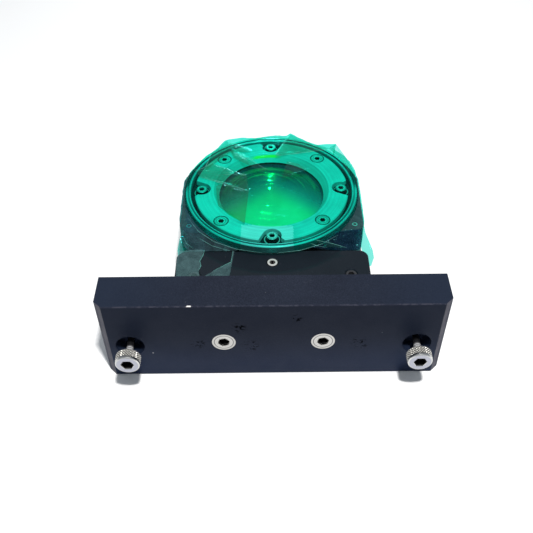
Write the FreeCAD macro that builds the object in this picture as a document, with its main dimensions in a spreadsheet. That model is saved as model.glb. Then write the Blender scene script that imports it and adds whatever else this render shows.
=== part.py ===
import FreeCAD, Part
import math
import os
import Sketcher

# Laser focusing lens assembly: a drawer front plate, a carrier behind it and a round lens head.
# Millimetres. The origin is on the optical axis at the foot of the carrier, +Z runs up the
# axis towards the lens, +X is to the right and the front plate lies towards -Y.

SIZES = {
    # Front plate
    "plate_width": 150.0,
    "plate_thickness": 17.6,
    "plate_height": 46.0,
    "plate_corner_chamfer": 3.4,
    "plate_edge_chamfer": 0.5,
    "axis_to_face": 78.0,
    # Carrier: block behind the plate and the slab under the lens head
    "rear_radius": 45.0,
    "side_flat": 1.6,
    "head_gap": 0.5,
    "block_drop": 1.2,
    "block_corner_radius": 4.0,
    "slab_height": 24.0,
    "beam_inset": 5.0,
    # Yoke around the lens barrel
    "head_rise": 3.8,
    "yoke_front": 27.3,
    "yoke_corner_radius": 6.0,
    # Barrel, rim, cell and retaining ring
    "yoke_wall": 6.5,
    "flange_step": 0.65,
    "rim_inset": 3.2,
    "rim_edge": 0.5,
    "head_top": 45.0,
    "barrel_wall": 7.5,
    "cell_depth": 15.0,
    "cell_seat_thickness": 2.4,
    "cell_seat_width": 4.6,
    "ring_groove": 1.0,
    "ring_thickness": 2.5,
    "ring_edge": 0.25,
    "bevel_inset": 0.5,
    "aperture_inset": 2.9,
    "notch_radius": 4.4,
    "notch_mouth": 7.0,
    "notch_reach_angle": 110.0,
    # Lens and its two seals
    "cell_wall": 2.5,
    "lens_rim": 2.5,
    "lens_edge_height": 5.7,
    "lens_crown": 1.7,
    "lens_dish": 1.0,
    "seal_thickness": 1.6,
    "seal_inset": 1.2,
    # Cap screws that hold the barrel down
    "cap_inset": 3.5,
    "cap_head_radius": 2.75,
    "cap_head_height": 3.0,
    "cap_shank_radius": 1.5,
    "cap_shank_length": 28.0,
    "cap_socket": 2.5,
    # Countersunk screws that hold the retaining ring
    "ring_screw_inset": 4.0,
    "ring_screw_head_radius": 3.6,
    "ring_screw_shank_radius": 2.0,
    "ring_screw_length": 10.0,
    "ring_screw_socket": 2.5,
    "ring_screw_socket_depth": 1.3,
    # Countersunk screws through the front plate into the carrier
    "plate_screw_x": 21.6,
    "plate_screw_z": 22.5,
    "plate_screw_head_radius": 5.2,
    "plate_screw_shank_radius": 3.0,
    "plate_screw_length": 30.0,
    "plate_screw_lobe_radius": 2.75,
    "plate_screw_valley_radius": 2.0,
    "plate_screw_socket_depth": 2.6,
    # Captive knurled screws, shown drawn out
    "captive_inset": 12.35,
    "captive_z": 20.5,
    "captive_head_radius": 5.3,
    "captive_head_length": 5.8,
    "captive_shoulder": 1.0,
    "captive_neck_radius": 1.5,
    "captive_thread_radius": 2.5,
    "captive_thread_length": 6.0,
    "captive_shank_radius": 2.05,
    "captive_shank_length": 8.0,
    "captive_socket": 5.0,
    "captive_socket_depth": 3.2,
    "captive_stand_out": 10.5,
    "captive_bore_radius": 6.35,
    "captive_bore_depth": 6.5,
    # Set screws in the top of the block
    "set_radius": 2.5,
    "set_length": 10.0,
    "set_recess": 0.2,
    "set_chamfer": 0.3,
    "set_socket": 2.5,
    "set_socket_depth": 2.5,
    "set_mouth_chamfer": 0.55,
    "centre_set_inset": 7.2,
    "side_set_back": 6.4,
    "side_set_inset": 8.6,
    # Small set screws in the front corners of the yoke
    "yoke_set_inset": 4.3,
    "yoke_set_y": 22.5,
    "yoke_set_radius": 1.5,
    "yoke_set_length": 10.0,
    "yoke_set_socket": 1.5,
    # Cap screws from below through the slab into the yoke
    "base_front_inset": 3.7,
    "base_front_y": 14.0,
    "base_rear_inset": 3.8,
    "base_rear_angle": 55.0,
    "base_head_radius": 2.75,
    "base_head_height": 3.0,
    "base_shank_radius": 1.5,
    "base_shank_length": 28.5,
    "base_head_recess": 0.5,
    "base_socket": 2.5,
    # Protective film over the head
    "film_thickness": 0.3,
    "film_skirt_foot": 30.0,
    # Small chamfers on heads, points and edges
    "head_chamfer": 0.3,
    "point_chamfer": 0.4,
    "captive_point_chamfer": 0.6,
    "captive_head_chamfer": 0.5,
    "edge_break": 0.4,
    # Clearances
    "close_gap": 0.05,
    "screw_gap": 0.25,
    "stop_gap": 0.1,
    "tap_reserve": 0.5,
    "cut_margin": 1.0,
}

# Sizes that follow from others: each is a sum of named sizes, those with a minus sign taken away
DERIVED = {
    "half_width": ("rear_radius", "-side_flat"),
    "barrel_radius": ("rear_radius", "-yoke_wall"),
    "barrel_flange_radius": ("barrel_radius", "flange_step"),
    "block_depth": ("axis_to_face", "-plate_thickness", "-barrel_radius", "-head_gap"),
    "rim_radius": ("rear_radius", "-rim_inset"),
    "cell_radius": ("barrel_radius", "-barrel_wall"),
    "cell_throat_radius": ("cell_radius", "-cell_seat_width"),
    "beam_radius": ("cell_radius", "-beam_inset"),
    "ring_radius": ("barrel_radius", "-ring_groove"),
    "lens_radius": ("cell_radius", "-cell_wall"),
    "lens_flat_radius": ("lens_radius", "-lens_rim"),
    "ring_bevel_radius": ("lens_radius", "-bevel_inset"),
    "aperture_radius": ("lens_radius", "-aperture_inset"),
    "spigot_radius": ("lens_radius", "-stop_gap"),
    "seal_pitch_radius": ("lens_radius", "-seal_inset"),
    "cap_pitch_radius": ("ring_radius", "-cap_inset"),
    "ring_screw_pitch_radius": ("ring_radius", "-ring_screw_inset"),
    "base_rear_radius": ("rear_radius", "-base_rear_inset"),
    "base_front_x": ("half_width", "-base_front_inset"),
    "yoke_set_x": ("half_width", "-yoke_set_inset"),
    "side_set_x": ("half_width", "-side_set_inset"),
    "centre_set_back": ("block_depth", "-centre_set_inset"),
    "barrel_top": ("head_top", "-ring_thickness"),
    "yoke_top": ("head_top", "-head_rise"),
    "block_height": ("yoke_top", "-block_drop"),
    "cell_floor": ("head_top", "-cell_depth"),
}

# Heights that follow from the stack of seat, seals, lens and ring
LENS_FOOT = "( cell_floor + cell_seat_thickness + seal_thickness )"
LENS_EDGE_TOP = "( cell_floor + cell_seat_thickness + seal_thickness + lens_edge_height )"
LIP_FOOT = "( cell_floor + cell_seat_thickness + seal_thickness * 2 + lens_edge_height )"
ZERO = "0 * head_top"
CAPTIVE_X = "( plate_width / 2 - captive_inset )"

doc = FreeCAD.newDocument("FocusingLensAssembly")
sheet = doc.addObject("Spreadsheet::Sheet", "Dims")
for row, (alias, value) in enumerate(SIZES.items(), start=1):
    sheet.set("A%d" % row, alias)
    sheet.set("B%d" % row, str(value))
    sheet.setAlias("B%d" % row, alias)
doc.recompute()

NODES = []
NEAR = 0.01
LOBES = 6
UP = FreeCAD.Vector(0, 0, 1)
DIRECTIONS = {
    "up": FreeCAD.Rotation(),
    "front": FreeCAD.Rotation(UP, FreeCAD.Vector(0, -1, 0)),
    "back": FreeCAD.Rotation(UP, FreeCAD.Vector(0, 1, 0)),
    "down": FreeCAD.Rotation(FreeCAD.Vector(1, 0, 0), 180),
}


def dims(text):
    """Point every word of an expression at its cell in the sheet."""
    words = []
    for word in text.replace("(", "( ").replace(")", " )").split():
        if word in DERIVED:
            parts = [("- " + part[1:] if part[0] == "-" else "+ " + part) for part in DERIVED[word]]
            words.append("( 0 * %s " % dims("head_top") + " ".join(dims(part) for part in parts) + " )")
        else:
            words.append("Dims." + word if word in SIZES else word)
    return " ".join(words)


def size(word):
    """The number behind a named size, for where a sketch starts from."""
    if word[0] == "-":
        return -size(word[1:])
    if word in DERIVED:
        return sum(size(part) for part in DERIVED[word])
    return SIZES[word]


def place(thing, at, facing="up"):
    """Turn a thing so that its own +Z faces the given way, and bind its position."""
    thing.Placement = FreeCAD.Placement(FreeCAD.Vector(), DIRECTIONS[facing])
    for axis, text in zip("xyz", at):
        if text != "0":
            thing.setExpression("Placement.Base." + axis, dims(text))
    return thing


def keep(thing, label):
    """Name a finished sub-part, which is then written out as one node."""
    thing.Label = label
    NODES.append(thing)
    return thing


def cylinder(name, radius, length, at=("0", "0", "0"), facing="up"):
    thing = doc.addObject("Part::Cylinder", name)
    thing.setExpression("Radius", dims(radius))
    thing.setExpression("Height", dims(length))
    return place(thing, at, facing)


def cone(name, foot_radius, top_radius, length, at=("0", "0", "0"), facing="up"):
    thing = doc.addObject("Part::Cone", name)
    thing.setExpression("Radius1", dims(foot_radius))
    thing.setExpression("Radius2", dims(top_radius))
    thing.setExpression("Height", dims(length))
    return place(thing, at, facing)


def sphere(name, radius, height):
    thing = doc.addObject("Part::Sphere", name)
    thing.setExpression("Radius", dims(radius))
    return place(thing, ("0", "0", height))


def fuse(name, pieces):
    thing = doc.addObject("Part::MultiFuse", name)
    thing.Shapes = pieces
    thing.Refine = True
    return thing


def common(name, pieces):
    thing = doc.addObject("Part::MultiCommon", name)
    thing.Shapes = pieces
    return thing


def cut(name, base, tools):
    thing = doc.addObject("Part::Cut", name)
    thing.Base = base
    thing.Tool = tools[0] if len(tools) == 1 else fuse(name + "_tools", tools)
    return thing


def origin_plane(body, role):
    return [plane for plane in body.Origin.OriginFeatures if plane.Role == role][0]


def sketch_in(body, name, role="XY_Plane", lift=None):
    sketch = body.newObject("Sketcher::SketchObject", name)
    sketch.AttachmentSupport = [(origin_plane(body, role), "")]
    sketch.MapMode = "FlatFace"
    if lift:
        sketch.setExpression("AttachmentOffset.Base.z", dims(lift))
    return sketch


def fix_point(sketch, geometry, end, x_text, y_text):
    """Tie one end of a line to the sketch origin, each distance bound to the sheet."""
    for kind, text, axis in (("DistanceX", x_text, -2), ("DistanceY", y_text, -1)):
        if text == "0":
            sketch.addConstraint(Sketcher.Constraint("PointOnObject", geometry, end, axis))
        else:
            index = sketch.addConstraint(Sketcher.Constraint(kind, -1, 1, geometry, end, 1.0))
            name = "%s_%d_%d" % (kind, geometry, end)
            sketch.renameConstraint(index, name)
            sketch.setExpression("Constraints." + name, dims(text))


def close_loop(sketch, count):
    """Join the end of each line or arc to the start of the next, and the last to the first."""
    for i in range(count):
        sketch.addConstraint(Sketcher.Constraint("Coincident", i, 2, (i + 1) % count, 1))


def draw_outline(sketch, points):
    """A closed outline of straight lines whose corners are bound to the sheet."""
    count = len(points)
    start = [FreeCAD.Vector(math.cos(2 * math.pi * i / count), math.sin(2 * math.pi * i / count), 0)
             for i in range(count)]
    for i in range(count):
        sketch.addGeometry(Part.LineSegment(start[i], start[(i + 1) % count]), False)
    close_loop(sketch, count)
    for i, (x_text, y_text) in enumerate(points):
        fix_point(sketch, i, 1, x_text, y_text)


def turned(name, profile, at=("0", "0", "0"), facing="up"):
    """A turned piece: the profile gives radius and height pairs about its own +Z."""
    body = doc.addObject("PartDesign::Body", name)
    sketch = sketch_in(body, name + "_profile", "XZ_Plane")
    draw_outline(sketch, profile)
    doc.recompute()
    spin = body.newObject("PartDesign::Revolution", name + "_turning")
    spin.Profile = sketch
    spin.ReferenceAxis = (sketch, ["V_Axis"])
    spin.Angle = 360.0
    sketch.Visibility = False
    return place(body, at, facing)


def hex_socket(body, across, depth, top):
    """A hexagon socket sunk from the height called top."""
    sketch = sketch_in(body, body.Name + "_hexagon", lift=top)
    half = "(%s) / 2" % across
    side = "(%s) / 2 / cos(30deg)" % across
    draw_outline(sketch, [
        (side, "0"), (side + " / 2", half), ("-1 * " + side + " / 2", half),
        ("-1 * " + side, "0"), ("-1 * " + side + " / 2", "-1 * " + half),
        (side + " / 2", "-1 * " + half),
    ])
    pocket = body.newObject("PartDesign::Pocket", body.Name + "_socket")
    pocket.Profile = sketch
    pocket.setExpression("Length", dims(depth))
    sketch.Visibility = False
    return body


def edges_where(shape, test):
    return ["Edge%d" % (i + 1) for i, edge in enumerate(shape.Edges) if test(edge)]


def upright_at(edge, x, y):
    """True for a straight vertical edge that stands at x, y."""
    ends = [vertex.Point for vertex in edge.Vertexes]
    return len(ends) == 2 and all(math.hypot(p.x - x, p.y - y) < NEAR for p in ends)


def lies_at(edge, height):
    """True for an edge whose ends are both at this height."""
    return all(abs(vertex.Point.z - height) < NEAR for vertex in edge.Vertexes)


def head_outline(sketch, front, half_width, rear):
    """Plan of the lens head: straight front and sides, rear arc about the optical axis."""
    half = size("half_width")
    radius = size("rear_radius")
    meet = math.sqrt(radius ** 2 - half ** 2)
    corners = [(half, -front[1]), (half, meet), (-half, meet), (-half, -front[1])]
    corner = [FreeCAD.Vector(x, y, 0) for x, y in corners]
    sketch.addGeometry(Part.LineSegment(corner[3], corner[0]), False)
    sketch.addGeometry(Part.LineSegment(corner[0], corner[1]), False)
    circle = Part.Circle(FreeCAD.Vector(), UP, radius)
    sketch.addGeometry(Part.ArcOfCircle(circle, math.atan2(meet, half), math.atan2(meet, -half)), False)
    sketch.addGeometry(Part.LineSegment(corner[2], corner[3]), False)
    close_loop(sketch, 4)
    sketch.addConstraint(Sketcher.Constraint("Coincident", 2, 3, -1, 1))
    sketch.addConstraint(Sketcher.Constraint("Vertical", 1))
    sketch.addConstraint(Sketcher.Constraint("Vertical", 3))
    index = sketch.addConstraint(Sketcher.Constraint("Radius", 2, radius))
    sketch.renameConstraint(index, "rear")
    sketch.setExpression("Constraints.rear", dims(rear))
    fix_point(sketch, 0, 1, "-1 * " + half_width, "-1 * " + front[0])
    fix_point(sketch, 0, 2, half_width, "-1 * " + front[0])


def pad(body, sketch, height, name):
    thing = body.newObject("PartDesign::Pad", name)
    thing.Profile = sketch
    thing.setExpression("Length", dims(height))
    sketch.Visibility = False
    doc.recompute()
    return thing


def fillet(body, base, edges, radius, name):
    thing = body.newObject("PartDesign::Fillet", name)
    thing.Base = (base, edges)
    thing.setExpression("Radius", dims(radius))
    doc.recompute()
    return thing


def chamfer(body, base, edges, size, name):
    thing = body.newObject("PartDesign::Chamfer", name)
    thing.Base = (base, edges)
    thing.setExpression("Size", dims(size))
    doc.recompute()
    return thing


def mirrored_pairs(x_text):
    """The two sides of the assembly, each with its name and the X expression."""
    return (("left", "-1 * " + x_text), ("right", x_text))


# Front plate
def make_front_plate():
    body = doc.addObject("PartDesign::Body", "plate_blank")
    sketch = sketch_in(body, "plate_plan")
    half = "plate_width / 2"
    face = "-1 * axis_to_face"
    back = "plate_thickness - axis_to_face"
    draw_outline(sketch, [
        ("-1 * " + half, back),
        ("-1 * " + half, face + " + plate_corner_chamfer"),
        ("plate_corner_chamfer - " + half, face),
        (half + " - plate_corner_chamfer", face),
        (half, face + " + plate_corner_chamfer"),
        (half, back),
    ])
    solid = pad(body, sketch, "plate_height", "plate_slab")
    face_y = -size("axis_to_face")
    long_edge = size("plate_width") / 2
    edge_names = edges_where(solid.Shape, lambda edge: abs(edge.CenterOfMass.y - face_y) < NEAR
                             and edge.Length > long_edge)
    chamfer(body, solid, edge_names, "plate_edge_chamfer", "plate_edges")

    tools = []
    for side, x_text in mirrored_pairs("plate_screw_x"):
        at = (x_text, face, "plate_screw_z")
        mouth = "( plate_screw_head_radius + close_gap )"
        seat = mouth + " - plate_screw_shank_radius"
        tools.append(cylinder("plate_hole_" + side, "plate_screw_shank_radius + screw_gap",
                              "plate_thickness", at, "back"))
        tools.append(cone("plate_sink_" + side, mouth, "plate_screw_shank_radius", seat, at, "back"))
    for side, x_text in mirrored_pairs(CAPTIVE_X):
        at = (x_text, face, "captive_z")
        tools.append(cylinder("captive_bore_" + side, "captive_bore_radius",
                              "captive_bore_depth", at, "back"))
        tools.append(cylinder("captive_hole_" + side, "captive_shank_radius + close_gap",
                              "plate_thickness", at, "back"))
    keep(cut("plate", body, tools), "front_plate")


# Carrier: the block behind the plate and the slab under the head, in one piece
def make_carrier():
    body = doc.addObject("PartDesign::Body", "carrier_blank")
    front = "( axis_to_face - plate_thickness )"
    front_size = size("axis_to_face") - size("plate_thickness")
    plan = sketch_in(body, "carrier_plan")
    head_outline(plan, (front, front_size), "half_width", "rear_radius")
    pad(body, plan, "slab_height", "carrier_slab")
    block = sketch_in(body, "block_plan")
    half = "half_width"
    far = "block_depth - " + front
    draw_outline(block, [("-1 * " + half, "-1 * " + front), (half, "-1 * " + front), (half, far),
                         ("-1 * " + half, far)])
    tall = pad(body, block, "block_height", "carrier_block")
    half_size = size("half_width")
    far_size = size("block_depth") - front_size
    clear_of_plate = size("edge_break")
    corners = edges_where(tall.Shape, lambda edge: upright_at(edge, half_size, far_size)
                          or upright_at(edge, -half_size, far_size))
    rounded = fillet(body, tall, corners, "block_corner_radius", "block_corners")
    top = size("block_height")
    rim = edges_where(rounded.Shape, lambda edge: lies_at(edge, top)
                      and edge.CenterOfMass.y > clear_of_plate - front_size)
    chamfer(body, rounded, rim, "edge_break", "block_edges")

    tools = [cylinder("beam_exit", "beam_radius", "slab_height")]
    depth = "plate_screw_length - plate_thickness + 2 * stop_gap"
    for side, x_text in mirrored_pairs("plate_screw_x"):
        tools.append(cylinder("block_tap_" + side, "plate_screw_shank_radius", depth,
                              (x_text, "-1 * " + front, "plate_screw_z"), "back"))
    for name, x_text, back in set_screw_places():
        y_text = back + " - " + front
        tools.append(cylinder("set_tap_" + name, "set_radius", "set_length + set_recess + stop_gap",
                              (x_text, y_text, "block_height"), "down"))
        tools.append(cone("set_mouth_" + name, "set_radius + set_mouth_chamfer", "set_radius",
                          "set_mouth_chamfer", (x_text, y_text, "block_height"), "down"))
    for name, x_text, y_text in base_screw_places():
        tools.append(cylinder("base_hole_" + name, "base_shank_radius + screw_gap", "slab_height",
                              (x_text, y_text, "0")))
        tools.append(cylinder("base_sink_" + name, "base_head_radius + screw_gap",
                              "base_head_height + base_head_recess", (x_text, y_text, "0")))
    for name, x_text, y_text in cap_screw_places():
        tools.append(cylinder("cap_tap_" + name, "cap_shank_radius",
                              "slab_height - barrel_top + cap_shank_length + 2 * stop_gap + tap_reserve",
                              (x_text, y_text, "slab_height"), "down"))
    keep(cut("carrier_cut", body, tools), "carrier")


def set_screw_places():
    return (("centre", "0", "centre_set_back"), ("left", "-1 * side_set_x", "side_set_back"),
            ("right", "side_set_x", "side_set_back"))


def base_screw_places():
    rear_x = "base_rear_radius * cos( base_rear_angle * 1deg )"
    rear_y = "base_rear_radius * sin( base_rear_angle * 1deg )"
    return (("front_left", "-1 * base_front_x", "-1 * base_front_y"),
            ("front_right", "base_front_x", "-1 * base_front_y"),
            ("rear_left", "-1 * " + rear_x, rear_y),
            ("rear_right", rear_x, rear_y))


def cap_screw_places():
    return (("front", "0", "-1 * cap_pitch_radius"), ("right", "cap_pitch_radius", "0"),
            ("rear", "0", "cap_pitch_radius"), ("left", "-1 * cap_pitch_radius", "0"))


def ring_screw_places():
    across = "ring_screw_pitch_radius * cos(45deg)"
    return (("front_left", "-1 * " + across, "-1 * " + across), ("front_right", across, "-1 * " + across),
            ("rear_left", "-1 * " + across, across), ("rear_right", across, across))


# Yoke: the dark collar with square front corners that holds the barrel
def make_yoke():
    body = doc.addObject("PartDesign::Body", "yoke_blank")
    plan = sketch_in(body, "yoke_plan", lift="slab_height")
    head_outline(plan, ("yoke_front", size("yoke_front")), "half_width", "rear_radius")
    block = pad(body, plan, "yoke_top - slab_height", "yoke_block")
    half = size("half_width")
    corners = edges_where(block.Shape, lambda edge: upright_at(edge, half, -size("yoke_front"))
                          or upright_at(edge, -half, -size("yoke_front")))
    rounded = fillet(body, block, corners, "yoke_corner_radius", "yoke_corners")
    rim = edges_where(rounded.Shape, lambda edge: lies_at(edge, size("yoke_top")))
    chamfer(body, rounded, rim, "edge_break", "yoke_edges")
    tools = [cylinder("yoke_bore", "barrel_radius + close_gap", "yoke_top - slab_height",
                      ("0", "0", "slab_height"))]
    for side, x_text in mirrored_pairs("yoke_set_x"):
        tools.append(cylinder("yoke_tap_" + side, "yoke_set_radius",
                              "yoke_set_length + set_recess + stop_gap",
                              (x_text, "-1 * yoke_set_y", "yoke_top"), "down"))
    for name, x_text, y_text in base_screw_places():
        reach = "base_shank_length + base_head_height + base_head_recess - slab_height + stop_gap"
        tools.append(cylinder("yoke_base_tap_" + name, "base_shank_radius", reach,
                              (x_text, y_text, "slab_height")))
    keep(cut("yoke", body, tools), "lens_yoke")


# Barrel: black sleeve in the yoke, its flange shows as the dark groove and the four lugs
def make_barrel():
    blank = turned("barrel_blank", [
        ("cell_throat_radius", "slab_height"), ("barrel_radius", "slab_height"),
        ("barrel_radius", "yoke_top"),
        ("barrel_flange_radius", "yoke_top"), ("barrel_flange_radius", "barrel_top"),
        ("cell_radius + close_gap", "barrel_top"), ("cell_radius + close_gap", "cell_floor"),
        ("cell_throat_radius", "cell_floor"),
    ])
    tools = []
    for name, x_text, y_text in cap_screw_places():
        tools.append(cylinder("barrel_hole_" + name, "cap_shank_radius + screw_gap",
                              "barrel_top - slab_height", (x_text, y_text, "slab_height")))
        tools.append(cylinder("barrel_spotface_" + name, "cap_head_radius + screw_gap",
                              "cap_head_height + barrel_top - head_top",
                              (x_text, y_text, "barrel_top"), "down"))
    for name, x_text, y_text in ring_screw_places():
        tools.append(cylinder("barrel_tap_" + name, "ring_screw_shank_radius",
                              "ring_screw_length + barrel_top - head_top + 2 * stop_gap",
                              (x_text, y_text, "barrel_top"), "down"))
    keep(cut("barrel", blank, tools), "lens_barrel")


# Bright rim pressed over the flange of the barrel
def make_rim():
    inner = "barrel_flange_radius + close_gap"
    keep(turned("rim", [
        (inner, "yoke_top"), ("rim_radius", "yoke_top"), ("rim_radius", "head_top - rim_edge"),
        ("rim_radius - rim_edge", "head_top"), (inner + " + rim_edge / 2", "head_top"),
        (inner, "head_top - rim_edge / 2"),
    ]), "rim_ring")


# Cell: black cup that carries the lens and its seals
def make_cell():
    seat = "cell_floor + cell_seat_thickness"
    keep(turned("cell", [
        ("cell_throat_radius", "cell_floor"), ("cell_radius", "cell_floor"), ("cell_radius", "barrel_top"),
        ("lens_radius + close_gap", "barrel_top"), ("lens_radius + close_gap", seat),
        ("cell_throat_radius", seat),
    ]), "lens_cell")


# Retaining ring: bright, notched at the four cap screws, with a bevelled aperture
def make_retaining_ring():
    body = turned("ring_blank", [
        ("aperture_radius", LIP_FOOT), ("spigot_radius", LIP_FOOT), ("spigot_radius", "barrel_top"),
        ("ring_radius", "barrel_top"), ("ring_radius", "head_top - ring_edge"),
        ("ring_radius - ring_edge", "head_top"), ("ring_bevel_radius", "head_top"),
    ])
    notch = sketch_in(body, "ring_notch", lift="head_top")
    pitch = size("cap_pitch_radius")
    radius = size("notch_radius")
    reach = math.radians(size("notch_reach_angle"))
    circle = Part.Circle(FreeCAD.Vector(pitch, 0, 0), UP, radius)
    notch.addGeometry(Part.ArcOfCircle(circle, math.pi - reach, math.pi + reach), False)
    start = FreeCAD.Vector(pitch + radius * math.cos(math.pi - reach), radius * math.sin(math.pi - reach), 0)
    far = size("ring_radius") + size("cut_margin")
    mouth = [FreeCAD.Vector(far, -size("notch_mouth"), 0), FreeCAD.Vector(far, size("notch_mouth"), 0)]
    notch.addGeometry(Part.LineSegment(FreeCAD.Vector(start.x, -start.y, 0), mouth[0]), False)
    notch.addGeometry(Part.LineSegment(mouth[0], mouth[1]), False)
    notch.addGeometry(Part.LineSegment(mouth[1], start), False)
    close_loop(notch, 4)
    index = notch.addConstraint(Sketcher.Constraint("Radius", 0, radius))
    notch.renameConstraint(index, "round")
    notch.setExpression("Constraints.round", dims("notch_radius"))
    fix_point(notch, 0, 3, "cap_pitch_radius", "0")
    fix_point(notch, 2, 1, "ring_radius + cut_margin", "-1 * notch_mouth")
    fix_point(notch, 2, 2, "ring_radius + cut_margin", "notch_mouth")
    notch.addConstraint(Sketcher.Constraint("Symmetric", 0, 1, 0, 2, -1))
    index = notch.addConstraint(Sketcher.Constraint("DistanceX", -1, 1, 0, 1, start.x))
    notch.renameConstraint(index, "flare")
    flare = "cap_pitch_radius - notch_radius * cos( notch_reach_angle * 1deg )"
    notch.setExpression("Constraints.flare", dims(flare))
    pocket = body.newObject("PartDesign::Pocket", "ring_notch_cut")
    pocket.Profile = notch
    pocket.setExpression("Length", dims("head_top - barrel_top"))
    notch.Visibility = False
    doc.recompute()
    pattern = body.newObject("PartDesign::PolarPattern", "ring_notches")
    pattern.Originals = [pocket]
    pattern.Axis = (notch, ["N_Axis"])
    pattern.Angle = 360.0
    pattern.Occurrences = 4
    body.Tip = pattern
    doc.recompute()
    tools = []
    mouth_radius = "( ring_screw_head_radius + close_gap )"
    for name, x_text, y_text in ring_screw_places():
        at = (x_text, y_text, "head_top")
        tools.append(cylinder("ring_hole_" + name, "ring_screw_shank_radius + close_gap",
                              "head_top - barrel_top", at, "down"))
        tools.append(cone("ring_sink_" + name, mouth_radius, "ring_screw_shank_radius",
                          mouth_radius + " - ring_screw_shank_radius", at, "down"))
    keep(cut("ring", body, tools), "retaining_ring")


# Lens: meniscus with a flat rim on both faces, and a round seal above and below it
def make_lens():
    crown_radius = "( lens_flat_radius ^ 2 + lens_crown ^ 2 ) / ( 2 * lens_crown )"
    dish_radius = "( lens_flat_radius ^ 2 + lens_dish ^ 2 ) / ( 2 * lens_dish )"
    disc = cylinder("lens_disc", "lens_radius", "lens_edge_height", ("0", "0", LENS_FOOT))
    crown_ball = sphere("lens_crown_ball", crown_radius, LENS_EDGE_TOP + " + lens_crown - " + crown_radius)
    crown_core = cylinder("lens_crown_core", "lens_flat_radius + cut_margin",
                          "lens_crown + cut_margin", ("0", "0", LENS_EDGE_TOP))
    crown = common("lens_crown", [crown_ball, crown_core])
    dish_ball = sphere("lens_dish_ball", dish_radius, LENS_FOOT + " + lens_dish - " + dish_radius)
    keep(cut("lens", fuse("lens_solid", [disc, crown]), [dish_ball]), "focusing_lens")
    for name, height in (("lower", "cell_floor + cell_seat_thickness"), ("upper", LENS_EDGE_TOP)):
        top = height + " + seal_thickness"
        inner, outer = "seal_pitch_radius - seal_thickness / 2", "seal_pitch_radius + seal_thickness / 2"
        round_off = "seal_thickness / 4"
        keep(turned("seal_" + name, [
            (inner + " + " + round_off, height), (outer + " - " + round_off, height),
            (outer, height + " + " + round_off), (outer, top + " - " + round_off),
            (outer + " - " + round_off, top), (inner + " + " + round_off, top),
            (inner, top + " - " + round_off), (inner, height + " + " + round_off),
        ]), "lens_seal_" + name)


def cap_screw(name, prefix, at, facing):
    """A socket cap screw whose seat is at its own height 0; prefix names its sizes."""
    head, shank = prefix + "_head_radius", prefix + "_shank_radius"
    tall, length = prefix + "_head_height", prefix + "_shank_length"
    body = turned(name, [
        ("0", "-1 * " + length), (shank + " - head_chamfer", "-1 * " + length),
        (shank, "head_chamfer - " + length), (shank, "0"), (head, "0"), (head, tall + " - head_chamfer"),
        (head + " - head_chamfer", tall), ("0", tall),
    ], at, facing)
    hex_socket(body, prefix + "_socket", tall + " / 2", tall)
    return body


def star_socket(body, lobe, valley, depth):
    """A six-lobed socket sunk from height 0, its lobes and valleys on two circles."""
    sketch = sketch_in(body, body.Name + "_star")
    corners = []
    half_lobe = 180 / LOBES
    for step in range(2 * LOBES):
        radius = lobe if step % 2 == 0 else valley
        turn = half_lobe * (step + 0.5)
        corners.append(("%s * cos(%gdeg)" % (radius, turn), "%s * sin(%gdeg)" % (radius, turn)))
    draw_outline(sketch, corners)
    pocket = body.newObject("PartDesign::Pocket", body.Name + "_socket")
    pocket.Profile = sketch
    pocket.setExpression("Length", dims(depth))
    sketch.Visibility = False
    return body


def countersunk_screw(name, prefix, at, facing):
    """A countersunk screw whose face is at its own height 0; prefix names its sizes."""
    head, shank, length = prefix + "_head_radius", prefix + "_shank_radius", prefix + "_length"
    return turned(name, [
        ("0", "-1 * " + length), (shank + " - point_chamfer", "-1 * " + length),
        (shank, "point_chamfer - " + length), (shank, shank + " - " + head), (head, "0"), ("0", "0"),
    ], at, facing)


def set_screw(name, radius, length, socket, depth, at):
    """A headless screw whose upper end is at its own height 0."""
    body = turned(name, [
        ("0", "-1 * " + length), (radius + " - set_chamfer", "-1 * " + length),
        (radius, "set_chamfer - " + length), (radius, "-1 * set_chamfer"),
        (radius + " - set_chamfer", "0"), ("0", "0"),
    ], at)
    hex_socket(body, socket, depth, ZERO)
    return body


def captive_screw(side, x_text):
    """Screw with a knurled head, kept in the plate by its thread, which can't pass the hole forwards."""
    head, neck, shank = "captive_head_radius", "captive_neck_radius", "captive_shank_radius"
    thread = "captive_thread_radius"
    thread_start = "( captive_stand_out + plate_thickness + stop_gap )"
    tip = "( captive_stand_out + plate_thickness + stop_gap + captive_thread_length )"
    shank_start = thread_start + " - captive_shank_length"
    body = turned("captive_" + side, [
        ("0", "-1 * " + tip),
        (thread + " - captive_point_chamfer", "-1 * " + tip),
        (thread, "captive_point_chamfer - " + tip),
        (thread, "-1 * " + thread_start),
        (shank, "-1 * " + thread_start),
        (shank, "-1 * ( " + shank_start + " )"),
        (neck, "-1 * ( " + shank_start + " )"),
        (neck, "-1 * captive_head_length"),
        (head + " - captive_shoulder", "-1 * captive_head_length"),
        (head, "captive_shoulder - captive_head_length"),
        (head, "-1 * captive_head_chamfer"),
        (head + " - captive_head_chamfer", "0"),
        ("0", "0"),
    ], (x_text, "-1 * axis_to_face - captive_stand_out", "captive_z"), "front")
    hex_socket(body, "captive_socket", "captive_socket_depth", ZERO)
    keep(body, "captive_screw_" + side)


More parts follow.
